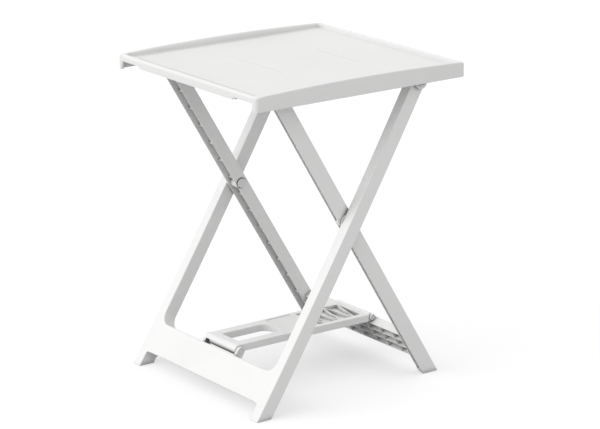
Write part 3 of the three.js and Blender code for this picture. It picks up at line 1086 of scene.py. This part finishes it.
    @staticmethod
    def _open_edges(skin: Workpiece) -> list[tuple[int, int]]:
        """Finds the edges that only one face uses.

        Args:
            skin: The skin.

        Returns:
            The two points of each such edge.
        """
        uses: dict[tuple[int, int], int] = {}
        for face in skin.object.data.polygons:
            for key in face.edge_keys:
                uses[key] = uses.get(key, 0) + 1
        return [key for key, count in uses.items() if count == 1]

    def _field(self) -> Workpiece:
        """The raised field inside the tray's border.

        Returns:
            The field.
        """
        x, y = self.half_width - self.field_inset, self.half_length - self.field_inset
        top = self.surface + self.field_rise
        field_plate = Workpiece.block("field", (-x, x), (-y, y), (self.surface - self.field_sink, top))
        field_plate.edges(lambda a, b: abs(a.x - b.x) + abs(a.y - b.y) < SAME).round(self.field_corner, 6)
        field_plate.edges(lambda a, b: min(a.z, b.z) > top - SAME).round(BROAD_EDGE, 3)
        return field_plate.hold()

    def _mark(self, x: Span, y: float) -> Workpiece:
        """A faint raised line across the field.

        Args:
            x: Its two ends.
            y: Its place from front to back.

        Returns:
            The line.
        """
        top = self.surface + self.field_rise + self.mark_height
        half = self.mark_width / 2
        mark = Workpiece.block("field_mark", x, (y - half, y + half), (self.surface, top))
        return mark.soften(self.mark_edge, 2)

    def _ribs(self) -> list[Workpiece]:
        """The grid of ribs under the tray's floor.

        Returns:
            The ribs.
        """
        x = self.notch_span[0]
        y = self.half_length - self.wall
        z = (self.underside - self.rib_depth, self.underside + BITE)
        half = self.rib_wall / 2
        ribs = [
            Workpiece.block("rib", (at - half, at + half), (-y - BITE, y + BITE), z)
            for at in [-x, *evenly(-x, x, self.rib_pitch), x]
        ]
        ribs += [
            Workpiece.block("rib", (-x, x), (at - half, at + half), z)
            for at in evenly(-y, y, self.rib_pitch)
        ]
        return [rib.soften(FINE_EDGE, 2) for rib in ribs]

    def _lug(self) -> list[Workpiece]:
        """The right hinge lug, round below, with the web that ties it to the skirt.

        Returns:
            The lug and its web.
        """
        hinge, radius = self.layout.top_hinge, self.lug_radius
        inside, outside = self.lug
        top = self.underside + BITE
        y = (hinge.y - radius, hinge.y + radius)
        plate = Workpiece.block("lug", (inside, outside), y, (hinge.z - radius, top))
        plate.edges(lambda a, b: max(a.z, b.z) < hinge.z and abs(a.x - b.x) > APART)
        plate.round(radius - CLOSE, 8)
        plate.cut(Workpiece.bar("hole", hinge, self.lug_hole, (inside - 0.01, outside + 0.01), 28))
        web_y = (hinge.y - self.rib_wall, hinge.y + self.rib_wall)
        web_x = (outside - BITE, self.half_width - self.wall + BITE)
        web = Workpiece.block("lug_web", web_x, web_y, (hinge.z + self.web_above, top))
        return [plate.soften(EDGE), web.soften(EDGE)]

    def _seat(self) -> list[Workpiece]:
        """The pad that the right inner leg's top bears on, and the stop behind it.

        Returns:
            The pad and the stop.
        """
        low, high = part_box("inner_frame")
        leg = (high[0] - self.seat_width, high[0])
        middle = low[1] + self.leg_round
        top = self.underside + BITE
        pad_y = (middle - self.seat_half, middle + self.seat_half)
        pad = Workpiece.block("seat", leg, pad_y, (high[2] + self.seat_gap, top))
        stop_y = (middle + self.stop[0], middle + self.stop[1])
        stop = Workpiece.block("seat_stop", leg, stop_y, (self.underside - self.rib_depth, top))
        return [pad.soften(EDGE), stop.soften(EDGE)]

    def build(self) -> bpy.types.Object:
        """Builds the tray and dresses it.

        Returns:
            The finished object.
        """
        shell = self._shell()
        shell.take(
            [
                self._field(),
                *(self._mark(x, y) for x, y in self.marks),
                *self._ribs(),
                *on_both_sides([*self._lug(), *self._seat()]),
            ]
        )
        return shell.finish("tabletop", "tabletop", "tray_plastic", self.look)


# ---------------------------------------------------------------- outer frame


@dataclass
class OuterFrame:
    """The frame whose feet stand at the front: two bowed channel legs and a low panel, in one."""

    layout: Layout
    look: bpy.types.Material
    half_width: float = 0.199
    leg_width: float = 0.022
    depth: float = 0.027
    web: float = 0.003
    flange: float = 0.0027
    bow: float = 0.0046  # how far the legs bow away from their chord
    panel: Span = (0.0233, 0.0838)  # up the leg
    panel_top_round: float = 0.022
    panel_bottom_round: float = 0.005
    panel_top_depth: float = 0.020
    panel_bottom_depth: float = 0.008
    panel_rib_pitch: float = 0.044
    front_round: float = 0.0022
    rib_wall: float = 0.002
    rib_pitch: float = 0.0433
    rib_set_back: float = 0.002
    ear_radius: float = 0.008
    ear_wall: float = 0.006
    bends: int = 16
    foot_spare: float = 0.03  # left on below the floor until the foot is cut
    mouth_margin: float = 0.004  # between the panel's rounds and the cuts that part it from the legs
    rib_clear: float = 0.005  # between the floor and the lowest rib's bay
    hub_radius: float = 0.011
    boss_radius: float = 0.016
    boss_hole: float = 0.0053
    boss_height: float = 0.002
    boss_rim: float = 0.003
    boss_dish: float = 0.0006
    crown_radius: float = 0.009
    ear_sink: float = 0.003  # of the ears, into the panel's top

    @property
    def inside(self) -> float:
        """The inner face of the right leg."""
        return self.half_width - self.leg_width

    def _blank(self) -> Workpiece:
        """The solid outline: legs and panel cut from one block, round at the top.

        Returns:
            The blank.
        """
        wide, half, top = self.half_width, self.depth / 2, self.layout.leg_length + self.depth / 2
        blank = Workpiece.block(
            "outer_frame_moulding", (-wide, wide), (-half, half), (-self.foot_spare, top)
        )
        blank.edges(lambda a, b: min(a.z, b.z) > top - CLOSE and abs(a.x - b.x) > 0.1)
        blank.round(half - 2e-4, 8)
        low, high = self.panel
        cutters = []
        for span, edge, radius in (
            ((high, 1.0), high, self.panel_top_round),
            ((-1.0, low), low, self.panel_bottom_round),
        ):
            window = Workpiece.block("window", (-self.inside, self.inside), (-0.1, 0.1), span)
            window.edges(
                lambda a, b, at=edge: max(abs(a.z - at), abs(b.z - at)) < SAME and abs(a.y - b.y) > 0.1
            )
            cutters.append(window.round(radius, 9).hold())
        blank.cut(*cutters)
        lean = self.layout.lean + 4 * self.bow / self.layout.leg_length  # the bow turns the foot back
        return blank.slice((0, 0, 0), (0, -math.sin(lean), math.cos(lean)), Keep.AHEAD)

    def _channelled(self) -> Workpiece:
        """The blank with its front edges rounded and its back hollowed to an even wall.

        Returns:
            The hollowed frame.
        """
        half = self.depth / 2
        frame_shell = self._blank()
        for side in SIDES:
            mouth = self.inside - self.panel_top_round - self.mouth_margin
            frame_shell.slice((side * mouth, 0, 0), (1, 0, 0))
        frame_shell.faces(lambda at, normal: normal.y > 0.999).inset(self.flange)
        frame_shell.extrude((0, self.web - self.depth, 0))
        clear = self.inside - self.panel_top_round
        middle = (self.panel[0] + self.panel[1]) / 2
        for above, reach in ((True, self.panel_top_depth), (False, self.panel_bottom_depth)):
            frame_shell.points(
                lambda at, above=above: abs(at.x) < clear
                and at.y > half - CLOSE
                and (at.z > middle) is above
            )
            frame_shell.shift((0, reach - self.depth, 0))
        frame_shell.edges(self._on_front_outline).round(self.front_round, 4)
        return frame_shell.hold()

    def _on_front_outline(self, a: Vector, b: Vector) -> bool:
        """Whether an edge runs along the outline of the front face, above the feet.

        Args:
            a: One end.
            b: The other end.

        Returns:
            Whether it does.
        """
        front = -self.depth / 2 + SAME
        if a.y > front or b.y > front or abs(a.z - b.z) + abs(a.x - b.x) < 1e-6:
            return False
        low, high = self.panel
        on_side = min(abs(a.x), abs(b.x)) > self.half_width - CLOSE
        on_leg = abs(a.x - b.x) < SAME and abs(abs(a.x) - self.inside) < CLOSE
        inner = max(abs(a.x), abs(b.x)) < self.inside + CLOSE
        across_panel = abs(a.z - b.z) < SAME and (abs(a.z - low) < CLOSE or abs(a.z - high) < CLOSE)
        mouth = high + self.panel_top_round
        on_round = inner and high - CLOSE < min(a.z, b.z) and max(a.z, b.z) < mouth + CLOSE
        return on_side or on_leg or (inner and across_panel) or on_round

    def _leg_ribs(self) -> list[Workpiece]:
        """The cross ribs in the right leg's channel.

        Returns:
            The ribs.
        """
        half = self.depth / 2
        x = (self.inside + self.flange - BITE, self.half_width - self.flange + BITE)
        y = (self.web - half - BITE, half - self.rib_set_back)
        low = half * math.tan(self.layout.lean) + self.rib_clear
        wall = self.rib_wall / 2
        first, *rest = evenly(low, self.layout.leg_length, self.rib_pitch)
        rib = Workpiece.block("rib", x, y, (first - wall, first + wall)).soften(FINE_EDGE)
        return [rib, *(rib.copy((0, 0, up - first)) for up in rest)]

    def _panel_ribs(self) -> list[Workpiece]:
        """The upright ribs behind the panel, deeper at the top.

        Returns:
            The ribs.
        """
        half = self.depth / 2
        low, high = self.panel
        reach = self.inside - self.panel_top_round
        front = self.web - half - BITE
        ribs = []
        for at in evenly(-reach, reach, self.panel_rib_pitch):
            x = (at - self.rib_wall / 2, at + self.rib_wall / 2)
            y = (front, self.panel_bottom_depth - half - BITE)
            rib = Workpiece.block("panel_rib", x, y, (low + BITE, high - BITE))
            rib.points(lambda p: p.z > high - 2 * BITE and p.y > front + CLOSE)
            rib.shift((0, self.panel_top_depth - self.panel_bottom_depth - self.rib_set_back, 0))
            ribs.append(rib.soften(FINE_EDGE))
        return ribs

    def _bowed(self, piece: Workpiece) -> Workpiece:
        """Bends the frame so that its middle stands back from the chord.

        Args:
            piece: The straight frame.

        Returns:
            The bent frame.
        """
        length = self.layout.leg_length
        for up in evenly(0, length, length / self.bends):
            piece.slice((0, 0, up), (0, 0, 1))
        piece.faces(lambda at, normal: True).shift((0, 0, -length / 2))
        piece.hold()
        heights = [point.co.z for point in piece.object.data.vertices]
        turn = -8 * self.bow / length**2 * (max(heights) - min(heights))
        piece.modify("SIMPLE_DEFORM", deform_method="BEND", deform_axis="X", angle=turn)
        piece.faces(lambda at, normal: True).shift((0, self.bow, length / 2))
        return piece.hold()

    def _hubs(self) -> list[Workpiece]:
        """The right leg's hubs, and the boss on its inner side at the crossing.

        Returns:
            The two hubs and the boss.
        """
        pivot, top = self.layout.pivot, self.layout.top_hinge
        hub_span = (self.inside + BITE, self.half_width - BITE)
        hub = Workpiece.bar("pivot_hub", pivot, self.hub_radius, hub_span)
        boss_span = (self.inside - self.boss_height, self.inside + BITE)
        boss = Workpiece.bar("boss", pivot, self.boss_radius, boss_span, 56)
        hole_span = (self.inside - 0.01, self.inside + 0.01)
        boss.cut(Workpiece.bar("hole", pivot, self.boss_hole, hole_span, 28))
        boss.faces(lambda at, normal: normal.x < -ALONG).inset(self.boss_rim)
        boss.shift((self.boss_dish, 0, 0))
        crown = Workpiece.bar("hinge_hub", top, self.crown_radius, (self.inside, self.half_width))
        return [hub.hold(), boss.hold().soften(SOFT_EDGE, 3), crown.soften(FIRM_EDGE)]

    def _ear(self) -> Workpiece:
        """The right ear that holds the link's rod above the panel.

        Returns:
            The ear.
        """
        rod = self.layout.outer_frame.inverted() @ self.layout.link_hinge
        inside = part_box("link_hinge_rod")[1][0] - self.ear_wall
        y = (rod.y - self.ear_radius, rod.y + self.ear_radius)
        z = (self.panel[1] - self.ear_sink, rod.z + self.ear_radius)
        ear = Workpiece.block("ear", (inside, inside + self.ear_wall), y, z)
        ear.edges(lambda a, b: min(a.z, b.z) > rod.z and abs(a.x - b.x) > APART)
        ear.round(self.ear_radius - CLOSE, 10)
        hole = Workpiece.bar("hole", rod, self.boss_hole, (inside - 0.01, inside + 0.02), 32)
        return ear.hold().cut(hole).soften(EDGE)

    def build(self) -> bpy.types.Object:
        """Builds the frame and dresses it.

        Returns:
            The finished object.
        """
        moulding = self._channelled().soften(EDGE, 2, 60)
        moulding.take([*on_both_sides(self._leg_ribs()), *self._panel_ribs()])
        moulding = self._bowed(moulding)
        moulding.take(on_both_sides([self._ear()])).place(self.layout.outer_frame)
        moulding.take(on_both_sides(self._hubs()))
        return moulding.finish("outer_frame", "outer_frame", "frame_plastic", self.look)


# ---------------------------------------------------------------- inner frame


@dataclass
class InnerFrame:
    """The frame whose feet stand at the back: two channel legs, a pocketed crossbar and its bead."""

    layout: Layout
    look: bpy.types.Material
    half_width: float = 0.1745
    leg_width: float = 0.022
    depth: float = 0.030
    web: float = 0.003
    flange: float = 0.0027
    flange_step: float = 0.005  # how much shallower the inner flange is
    back_round: float = 0.0022
    rib_wall: float = 0.002
    rib_pitch: float = 0.0433
    rib_set_back: float = 0.002
    bar: Span = (0.035, 0.087)  # up the leg
    bar_depth: float = 0.018
    bar_rows: int = 3
    bar_wall: float = 0.0024
    bar_pitch: float = 0.0385
    bead_radius: float = 0.006
    bead_length: float = 0.108
    neck: float = 0.005
    end_wall: float = 0.009  # solid end of the leg, below the middle of its rounded top
    corner_cut: float = 0.011  # off the leg's outer top corner, so that it passes the outer panel
    hub_radius: float = 0.011
    foot_spare: float = 0.03  # left on below the floor until the foot is cut
    rib_clear: float = 0.005  # between the floor and the lowest rib's bay
    pocket_step: float = 0.0003  # how far the pockets narrow to their floors
    bead_rim: float = 0.0022
    bead_dish: float = 0.0012

    @property
    def inside(self) -> float:
        """The inner face of the right leg."""
        return self.half_width - self.leg_width

    def _leg(self) -> Workpiece:
        """The right leg, hollowed from the front.

        Returns:
            The leg.
        """
        half, top = self.depth / 2, self.layout.leg_length + self.depth / 2
        x = (self.inside, self.half_width)
        leg = Workpiece.block("inner_leg", x, (-half, half), (-self.foot_spare, top))
        leg.edges(lambda a, b: min(a.z, b.z) > top - CLOSE and abs(a.x - b.x) > APART)
        leg.round(half - 2e-4, 8)
        lean = self.layout.lean
        leg.slice((0, 0, 0), (0, math.sin(lean), math.cos(lean)), Keep.AHEAD)
        leg.slice((self.half_width - self.corner_cut, 0, top), (1, 0, 1), Keep.BEHIND)
        leg.faces(lambda at, normal: normal.y < -0.999).inset(self.flange)
        leg.extrude((0, self.depth - self.web, 0))
        shallow = self.inside + self.flange + CLOSE
        leg.points(lambda at: at.x < shallow and at.y < CLOSE - half).shift((0, self.flange_step, 0))
        leg.edges(lambda a, b: min(a.y, b.y) > half - SAME and abs(a.z - b.z) > 0.1)
        leg.round(self.back_round, 4)
        return leg.hold().soften(EDGE, 2, 60)

    def _leg_ribs(self) -> list[Workpiece]:
        """The cross ribs in the right leg's channel.

        Returns:
            The ribs.
        """
        half = self.depth / 2
        x = (self.inside + self.flange - BITE, self.half_width - self.flange + BITE)
        y = (-half + self.flange_step + self.rib_set_back, half - self.web + BITE)
        low = half * math.tan(self.layout.lean) + self.rib_clear
        wall = self.rib_wall / 2
        first, *rest = evenly(low, self.layout.leg_length - self.end_wall, self.rib_pitch)
        rib = Workpiece.block("rib", x, y, (first - wall, first + wall)).soften(FINE_EDGE)
        return [rib, *(rib.copy((0, 0, up - first)) for up in rest)]

    def _crossbar(self) -> Workpiece:
        """The bar between the legs, with rows of open pockets to the front.

        Returns:
            The bar.
        """
        half = self.depth / 2
        reach = self.inside + BITE
        front = half - self.bar_depth
        bar = Workpiece.block("crossbar", (-reach, reach), (front, half), self.bar)
        for at in evenly(-reach, reach, self.bar_pitch):
            bar.slice((at, 0, 0), (1, 0, 0))
        low, high = self.bar
        for up in evenly(low, high, (high - low) / self.bar_rows):
            bar.slice((0, 0, up), (0, 0, 1))
        bar.faces(lambda at, normal: normal.y < -0.999).inset(self.bar_wall / 2, each=True)
        bar.inset(self.pocket_step, self.web - self.bar_depth, each=True)
        return bar.hold().soften(FINE_EDGE)

    def _bead(self) -> list[Workpiece]:
        """The catch bead that the link's clip wraps, and its neck.

        Returns:
            The bead and its neck.
        """
        bead = self.layout.inner_frame.inverted() @ self.layout.bead
        end = self.bead_length / 2
        roll = Workpiece.bar("bead", bead, self.bead_radius, (-end, end), 48)
        roll.faces(lambda at, normal: abs(normal.x) > ALONG).inset(self.bead_rim, each=True)
        roll.inset(FINE_EDGE, -self.bead_dish, each=True)
        y = (bead.y - self.neck / 2, bead.y + self.neck / 2)
        neck = Workpiece.block("neck", (-end, end), y, (self.bar[1] - BITE, bead.z))
        return [roll.hold().soften(FIRM_EDGE), neck.soften(EDGE)]

    def build(self) -> bpy.types.Object:
        """Builds the frame and dresses it.

        Returns:
            The finished object.
        """
        moulding = self._crossbar()
        moulding.object.name = "inner_frame_moulding"
        moulding.take([*on_both_sides([self._leg(), *self._leg_ribs()]), *self._bead()])
        moulding.place(self.layout.inner_frame)
        span = (self.inside, self.half_width)
        hub = Workpiece.bar("pivot_hub", self.layout.pivot, self.hub_radius, span, 48).soften(EDGE)
        moulding.take(on_both_sides([hub]))
        return moulding.finish("inner_frame", "inner_frame", "frame_plastic", self.look)


# ---------------------------------------------------------------- tie link


@dataclass
class TieLink:
    """The link near the floor: hinged on a rod at the front, clipped over the bead at the back."""

    layout: Layout
    look: bpy.types.Material
    half_width: float = 0.046
    tail_half_width: float = 0.0505
    depth: float = 0.0134
    wall: float = 0.003
    rise: float = 0.0102  # the top face above the hinge
    knuckle: float = 0.010
    rod_hole: float = 0.0053
    window_half: float = 0.026
    window: Span = (0.013, 0.115)  # behind the hinge
    window_round: float = 0.020
    panel: Span = (0.121, 0.182)  # the slightly sunken middle plate
    panel_depth: float = 0.0014
    pocket: Span = (0.188, 0.288)
    pocket_half: float = 0.037
    pocket_depth: float = 0.007
    pocket_bays: int = 6
    pocket_rib: float = 0.0024
    clip_bore: float = 0.00635
    clip_mouth: float = 116  # degrees left open for the bead's neck
    clip_steps: int = 28
    tail_gap: float = 0.006  # between the end of the flat body and the bead's middle
    stations: int = 6  # along the body, where its width is set
    window_corner: float = 0.002  # at the hinge end
    plate_margin: float = 0.0045
    plate_corner: float = 0.008
    pocket_corner: float = 0.005
    split_before: float = 0.006  # the pocket, where the deep hollow ends
    rib_below: float = 0.0008  # the top face
    stiffener_pitch: float = 0.02
    relief_width: float = 0.012
    relief_y: Span = (-0.02, -0.003)  # from the hinge
    relief_z: Span = (-0.02, 0.0015)

    @property
    def top(self) -> float:
        """The height of the top face."""
        return self.layout.link_hinge.z + self.rise

    @property
    def end(self) -> float:
        """How far behind the hinge the flat body ends."""
        return self.layout.bead.y - self.layout.link_hinge.y - self.tail_gap

    def _y(self, behind: float) -> float:
        """The Y of a place behind the hinge."""
        return self.layout.link_hinge.y + behind

    def _body(self) -> Workpiece:
        """The flat body, a little wider at the tail, with its window, sunken plate and pocket.

        Returns:
            The body.
        """
        bottom = self.top - self.depth
        x = (-self.half_width, self.half_width)
        y = (self._y(0), self._y(self.end))
        body = Workpiece.block("tie_link_moulding", x, y, (bottom, self.top))
        flare = self.tail_half_width / self.half_width - 1
        stations = [0.0, *evenly(0, self.end, self.end / self.stations), self.end]
        for behind in stations[1:-1]:
            body.slice((0, self._y(behind), 0), (0, 1, 0))
        for behind in stations:
            at_station = self._y(behind)
            body.points(lambda p, y=at_station: abs(p.y - y) < SAME)
            body.widen(1 + flare * (behind / self.end) ** 2)
        body.hold()
        return self._hollow(body.cut(self._window(), self._plate(), self._pocket()))

    def _window(self) -> Workpiece:
        """The window's shape: square towards the hinge and rounded at the far end.

        Returns:
            The shape to cut out.
        """
        near, far = (self._y(behind) for behind in self.window)
        half = self.window_half
        window = Workpiece.block("window", (-half, half), (near, far), (0, 0.2))
        window.edges(lambda a, b: min(a.y, b.y) > far - SAME and abs(a.z - b.z) > 0.1)
        window.round(self.window_round, 10)
        window.edges(lambda a, b: max(a.y, b.y) < near + SAME and abs(a.z - b.z) > 0.1)
        return window.round(self.window_corner, 3).hold()

    def _plate(self) -> Workpiece:
        """What is sunk between the window and the pocket.

        Returns:
            The shape to cut out.
        """
        near, far = (self._y(behind) for behind in self.panel)
        half, floor = self.half_width - self.plate_margin, self.top - self.panel_depth
        plate = Workpiece.block("plate", (-half, half), (near, far), (floor, 0.2))
        plate.edges(lambda a, b: abs(a.z - b.z) > 0.01).round(self.plate_corner, 6)
        return plate.hold()

    def _pocket(self) -> Workpiece:
        """The shape of the pocket that opens upwards.

        Returns:
            The shape to cut out.
        """
        near, far = (self._y(behind) for behind in self.pocket)
        half, floor = self.pocket_half, self.top - self.pocket_depth
        pocket = Workpiece.block("pocket", (-half, half), (near, far), (floor, 0.2))
        pocket.edges(lambda a, b: abs(a.z - b.z) > 0.01).round(self.pocket_corner, 5)
        return pocket.hold()

    def _hollow(self, body: Workpiece) -> Workpiece:
        """Hollows the underside: deep in front of the pocket, shallow beneath it.

        Args:
            body: The body with its openings.

        Returns:
            The hollowed body.
        """
        bottom = self.top - self.depth
        split = self._y(self.pocket[0] - self.split_before)
        body.slice((0, split, 0), (0, 1, 0))
        for front, sunk in ((True, self.panel_depth), (False, self.pocket_depth)):
            body.faces(
                lambda at, normal, front=front: normal.z < -ALONG
                and abs(at.z - bottom) < CLOSE
                and (at.y < split) is front
            )
            body.inset(self.wall)
            body.extrude((0, 0, self.depth - (self.wall + sunk)))
        return body.hold().soften(BROAD_EDGE, 3, 45)

    def _pocket_ribs(self) -> list[Workpiece]:
        """The zigzag ribs across the pocket.

        Returns:
            The ribs.
        """
        near, far = self.pocket
        bay = (far - near) / self.pocket_bays
        half = self.pocket_half
        length = math.hypot(2 * half, bay)
        z = (self.top - self.pocket_depth - BITE, self.top - self.rib_below)
        wall = self.pocket_rib / 2
        ribs = []
        for step in range(self.pocket_bays):
            turn = math.atan2(bay, 2 * half) * (1 if step % 2 == 0 else -1)
            rib = Workpiece.block("zigzag", (-length / 2, length / 2), (-wall, wall), z)
            middle = self._y(near + (step + 0.5) * bay)
            rib.soften(EDGE).place(Matrix.Translation((0, middle, 0)) @ Matrix.Rotation(turn, 4, "Z"))
            ribs.append(rib)
        return ribs

    def _stiffeners(self) -> list[Workpiece]:
        """Cross ribs beneath the plate, hidden from above.

        Returns:
            The ribs.
        """
        z = (self.top - self.depth + BITE, self.top - self.panel_depth - BITE)
        half = self.half_width - BITE
        return [
            Workpiece.block("stiffener", (-half, half), (self._y(at) - BITE, self._y(at) + BITE), z)
            for at in evenly(self.window[1], self.pocket[0], self.stiffener_pitch)
        ]

    def _knuckle(self) -> Workpiece:
        """The knuckle round the hinge rod, relieved at its left end.

        Returns:
            The knuckle.
        """
        hinge = self.layout.link_hinge
        half = self.half_width
        knuckle = Workpiece.bar("knuckle", hinge, self.knuckle, (-half, half), 56)
        relief = Workpiece.block(
            "relief",
            (-half - 0.01, self.relief_width - half),
            (hinge.y + self.relief_y[0], hinge.y + self.relief_y[1]),
            (hinge.z + self.relief_z[0], hinge.z + self.relief_z[1]),
        )
        knuckle.cut(Workpiece.bar("hole", hinge, self.rod_hole, (-0.1, 0.1), 40), relief)
        return knuckle.soften(BROAD_EDGE, 3)

    def _clip(self) -> Workpiece:
        """The open ring that snaps over the bead: a flat strip spun round its axis.

        Returns:
            The clip.
        """
        bead, half = self.layout.bead, self.tail_half_width
        outer = self.layout.clip_radius
        strip = Workpiece.sheet("clip", (-half, half), (bead.y + self.clip_bore, bead.y + outer), bead.z)
        start = self.layout.lean - math.pi / 2 + math.radians(self.clip_mouth / 2)
        sweep = math.radians(360 - self.clip_mouth)
        strip.faces(lambda at, normal: True)
        bpy.ops.mesh.spin(steps=self.clip_steps, angle=sweep, center=tuple(bead), axis=(1, 0, 0))
        strip.turn_outwards()
        turn = Matrix.Translation(bead) @ Matrix.Rotation(start, 4, "X") @ Matrix.Translation(-bead)
        return strip.place(turn).soften(SOFT_EDGE, 3)

    def build(self) -> bpy.types.Object:
        """Builds the link and dresses it.

        Returns:
            The finished object.
        """
        body = self._body()
        body.take([self._knuckle(), self._clip(), *self._pocket_ribs(), *self._stiffeners()])
        return body.finish("tie_link", "tie_link", "link_plastic", self.look)


# ---------------------------------------------------------------- rod and pins


@dataclass(frozen=True)
class PinSize:
    """A headed pin."""

    radius: float
    head_radius: float
    head: float  # the head's thickness, positive where the head is on the inside
    head_rim: float = 0.45  # of the head's radius
    head_dish: float = 0.35  # of the head's thickness


@dataclass
class Fastenings:
    """The link's hinge rod, and the headed pins of the crossing and the top hinge."""

    layout: Layout
    look: bpy.types.Material
    rod_radius: float = 0.005
    rod_rim: float = 0.0018
    rod_dish: float = 0.0009
    pivot_pin: PinSize = PinSize(0.005, 0.009, 0.0025)
    top_pin: PinSize = PinSize(0.004, 0.0065, -0.0018)

    def _rod(self) -> Workpiece:
        """The hinge rod, with a shallow dimple in each end.

        Returns:
            The rod.
        """
        low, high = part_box("link_hinge_rod")
        rod = Workpiece.bar("hinge_rod", self.layout.link_hinge, self.rod_radius, (low[0], high[0]), 48)
        rod.faces(lambda at, normal: abs(normal.x) > ALONG).inset(self.rod_rim, each=True)
        rod.inset(EDGE, -self.rod_dish, each=True)
        return rod.hold().soften(BROAD_EDGE, 3)

    @staticmethod
    def _pin(node: str, size: PinSize) -> Workpiece:
        """A pin whose head is at one end, drawn out of its shank.

        Args:
            node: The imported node, whose box gives the pin's ends and side.
            size: The pin's sizes.

        Returns:
            The pin.
        """
        low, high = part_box(node)
        head = size.head
        side = 1 if low[0] > 0 else -1
        near, far = sorted((low[0], high[0]), key=abs)
        start = near if head > 0 else far
        shank_end = start + side * head
        centre = middle_of(node)
        shank_span = sorted((shank_end - side * math.copysign(BITE, head), far if head > 0 else near))
        shank = Workpiece.bar(f"{node}_piece", centre, size.radius, tuple(shank_span), 40)
        cap = Workpiece.bar("head", centre, size.head_radius, tuple(sorted((start, shank_end))), 48)
        outward = -side if head > 0 else side
        cap.faces(lambda at, normal: normal.x * outward > ALONG).inset(size.head_radius * size.head_rim)
        cap.inset(EDGE, -abs(head) * size.head_dish)
        return shank.soften(FIRM_EDGE).take([cap.hold().soften(BROAD_EDGE, 3)])

    def build(self) -> list[bpy.types.Object]:
        """Builds the rod and the pins and dresses them.

        Returns:
            The finished objects.
        """
        done = [self._rod().finish("outer_frame", "link_hinge_rod", "pin_plastic", self.look)]
        for side in ("right", "left"):
            crossing = self._pin(f"pivot_pin_{side}", self.pivot_pin)
            done.append(crossing.finish("inner_frame", f"pivot_pin_{side}", "pin_plastic", self.look))
            top = self._pin(f"top_hinge_pin_{side}", self.top_pin)
            done.append(top.finish("tabletop", f"top_hinge_pin_{side}", "pin_plastic", self.look))
        return done


# ---------------------------------------------------------------- studio


@dataclass
class Studio:
    """A pale seamless floor, soft light and the camera."""

    azimuth: float = 53.2535  # degrees from straight behind the front edge, towards the right
    elevation: float = 16.2179
    distance: float = 4.7
    lens: float = 155.44
    sensor: float = 36
    aim: tuple[float, float, float] = (0.06759, -0.02901, 0.32002)
    surround: float = 1.0
    key_place: tuple[float, float, float] = (-0.5, -2.1, 1.15)
    key_spread: float = 50  # degrees across the key, as the table sees it
    key_power: float = 1.3
    floor_reach: float = 8
    floor_tone: float = 0.5  # what the floor throws back at the table
    floor_glow: float = 0.47  # what the camera sees on top of that

    def floor(self) -> None:
        """Lays the floor."""
        span = (-self.floor_reach, self.floor_reach)
        ground = Workpiece.sheet("studio_floor", span, span, 0)
        ground.hold()
        paper = bpy.data.materials.new("floor_paper")
        paper.use_nodes = True
        shader = paper.node_tree.nodes["Principled BSDF"]
        shader.inputs["Base Color"].default_value = (*[self.floor_tone] * 3, 1)
        shader.inputs["Roughness"].default_value = 0.9
        shader.inputs["Specular IOR Level"].default_value = 0.1
        shader.inputs["Emission Color"].default_value = (1, 1, 1, 1)
        ray = paper.node_tree.nodes.new("ShaderNodeLightPath").outputs["Is Camera Ray"]
        glow = paper.node_tree.nodes.new("ShaderNodeMath")
        glow.operation = "MULTIPLY"
        glow.inputs[1].default_value = self.floor_glow
        paper.node_tree.links.new(ray, glow.inputs[0])
        paper.node_tree.links.new(glow.outputs[0], shader.inputs["Emission Strength"])
        ground.object.data.materials.append(paper)

    def key(self) -> None:
        """Hangs one wide, distant light, so that it is as bright at the back as at the front."""
        lamp = bpy.data.lights.new("key", "SUN")
        lamp.angle = math.radians(self.key_spread)
        lamp.energy = self.key_power
        holder = bpy.data.objects.new("key", lamp)
        holder.rotation_euler = Vector(self.key_place).to_track_quat("Z", "Y").to_euler()
        bpy.context.scene.collection.objects.link(holder)

    def light(self) -> None:
        """Sets the soft surround and the lights."""
        world = bpy.data.worlds.new("surround")
        world.use_nodes = True
        surround = world.node_tree.nodes["Background"]
        surround.inputs["Color"].default_value = (1, 1, 1, 1)
        surround.inputs["Strength"].default_value = self.surround
        bpy.context.scene.world = world
        bpy.context.scene.view_settings.view_transform = "Standard"
        self.key()

    def camera(self) -> None:
        """Sets the camera."""
        turn = math.radians(self.azimuth)
        lift = math.radians(self.elevation)
        back = Vector((math.cos(lift) * math.sin(turn), -math.cos(lift) * math.cos(turn), math.sin(lift)))
        lens = bpy.data.cameras.new("camera")
        lens.lens = self.lens
        lens.sensor_width = self.sensor
        holder = bpy.data.objects.new("camera", lens)
        holder.location = Vector(self.aim) + back * self.distance
        holder.rotation_euler = (math.pi / 2 - lift, 0, turn)
        bpy.context.scene.collection.objects.link(holder)
        bpy.context.scene.camera = holder

    def build(self) -> None:
        """Sets up the whole studio."""
        self.camera()
        self.light()
        self.floor()


def main() -> None:
    """Builds the studio and the table, piece by piece."""
    logging.basicConfig(level=logging.INFO, format="%(name)s: %(message)s")
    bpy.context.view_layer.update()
    Studio().build()
    layout = Layout()
    finishes = Finishes(SharedEffects.build())
    effects = finishes.effects
    frame_look = finishes.frames.build(effects)
    Tabletop(layout, finishes.tray.build(effects)).build()
    OuterFrame(layout, frame_look).build()
    InnerFrame(layout, frame_look).build()
    TieLink(layout, finishes.link.build(effects)).build()
    Fastenings(layout, finishes.pins.build(effects)).build()


if __name__ == "__main__":
    main()
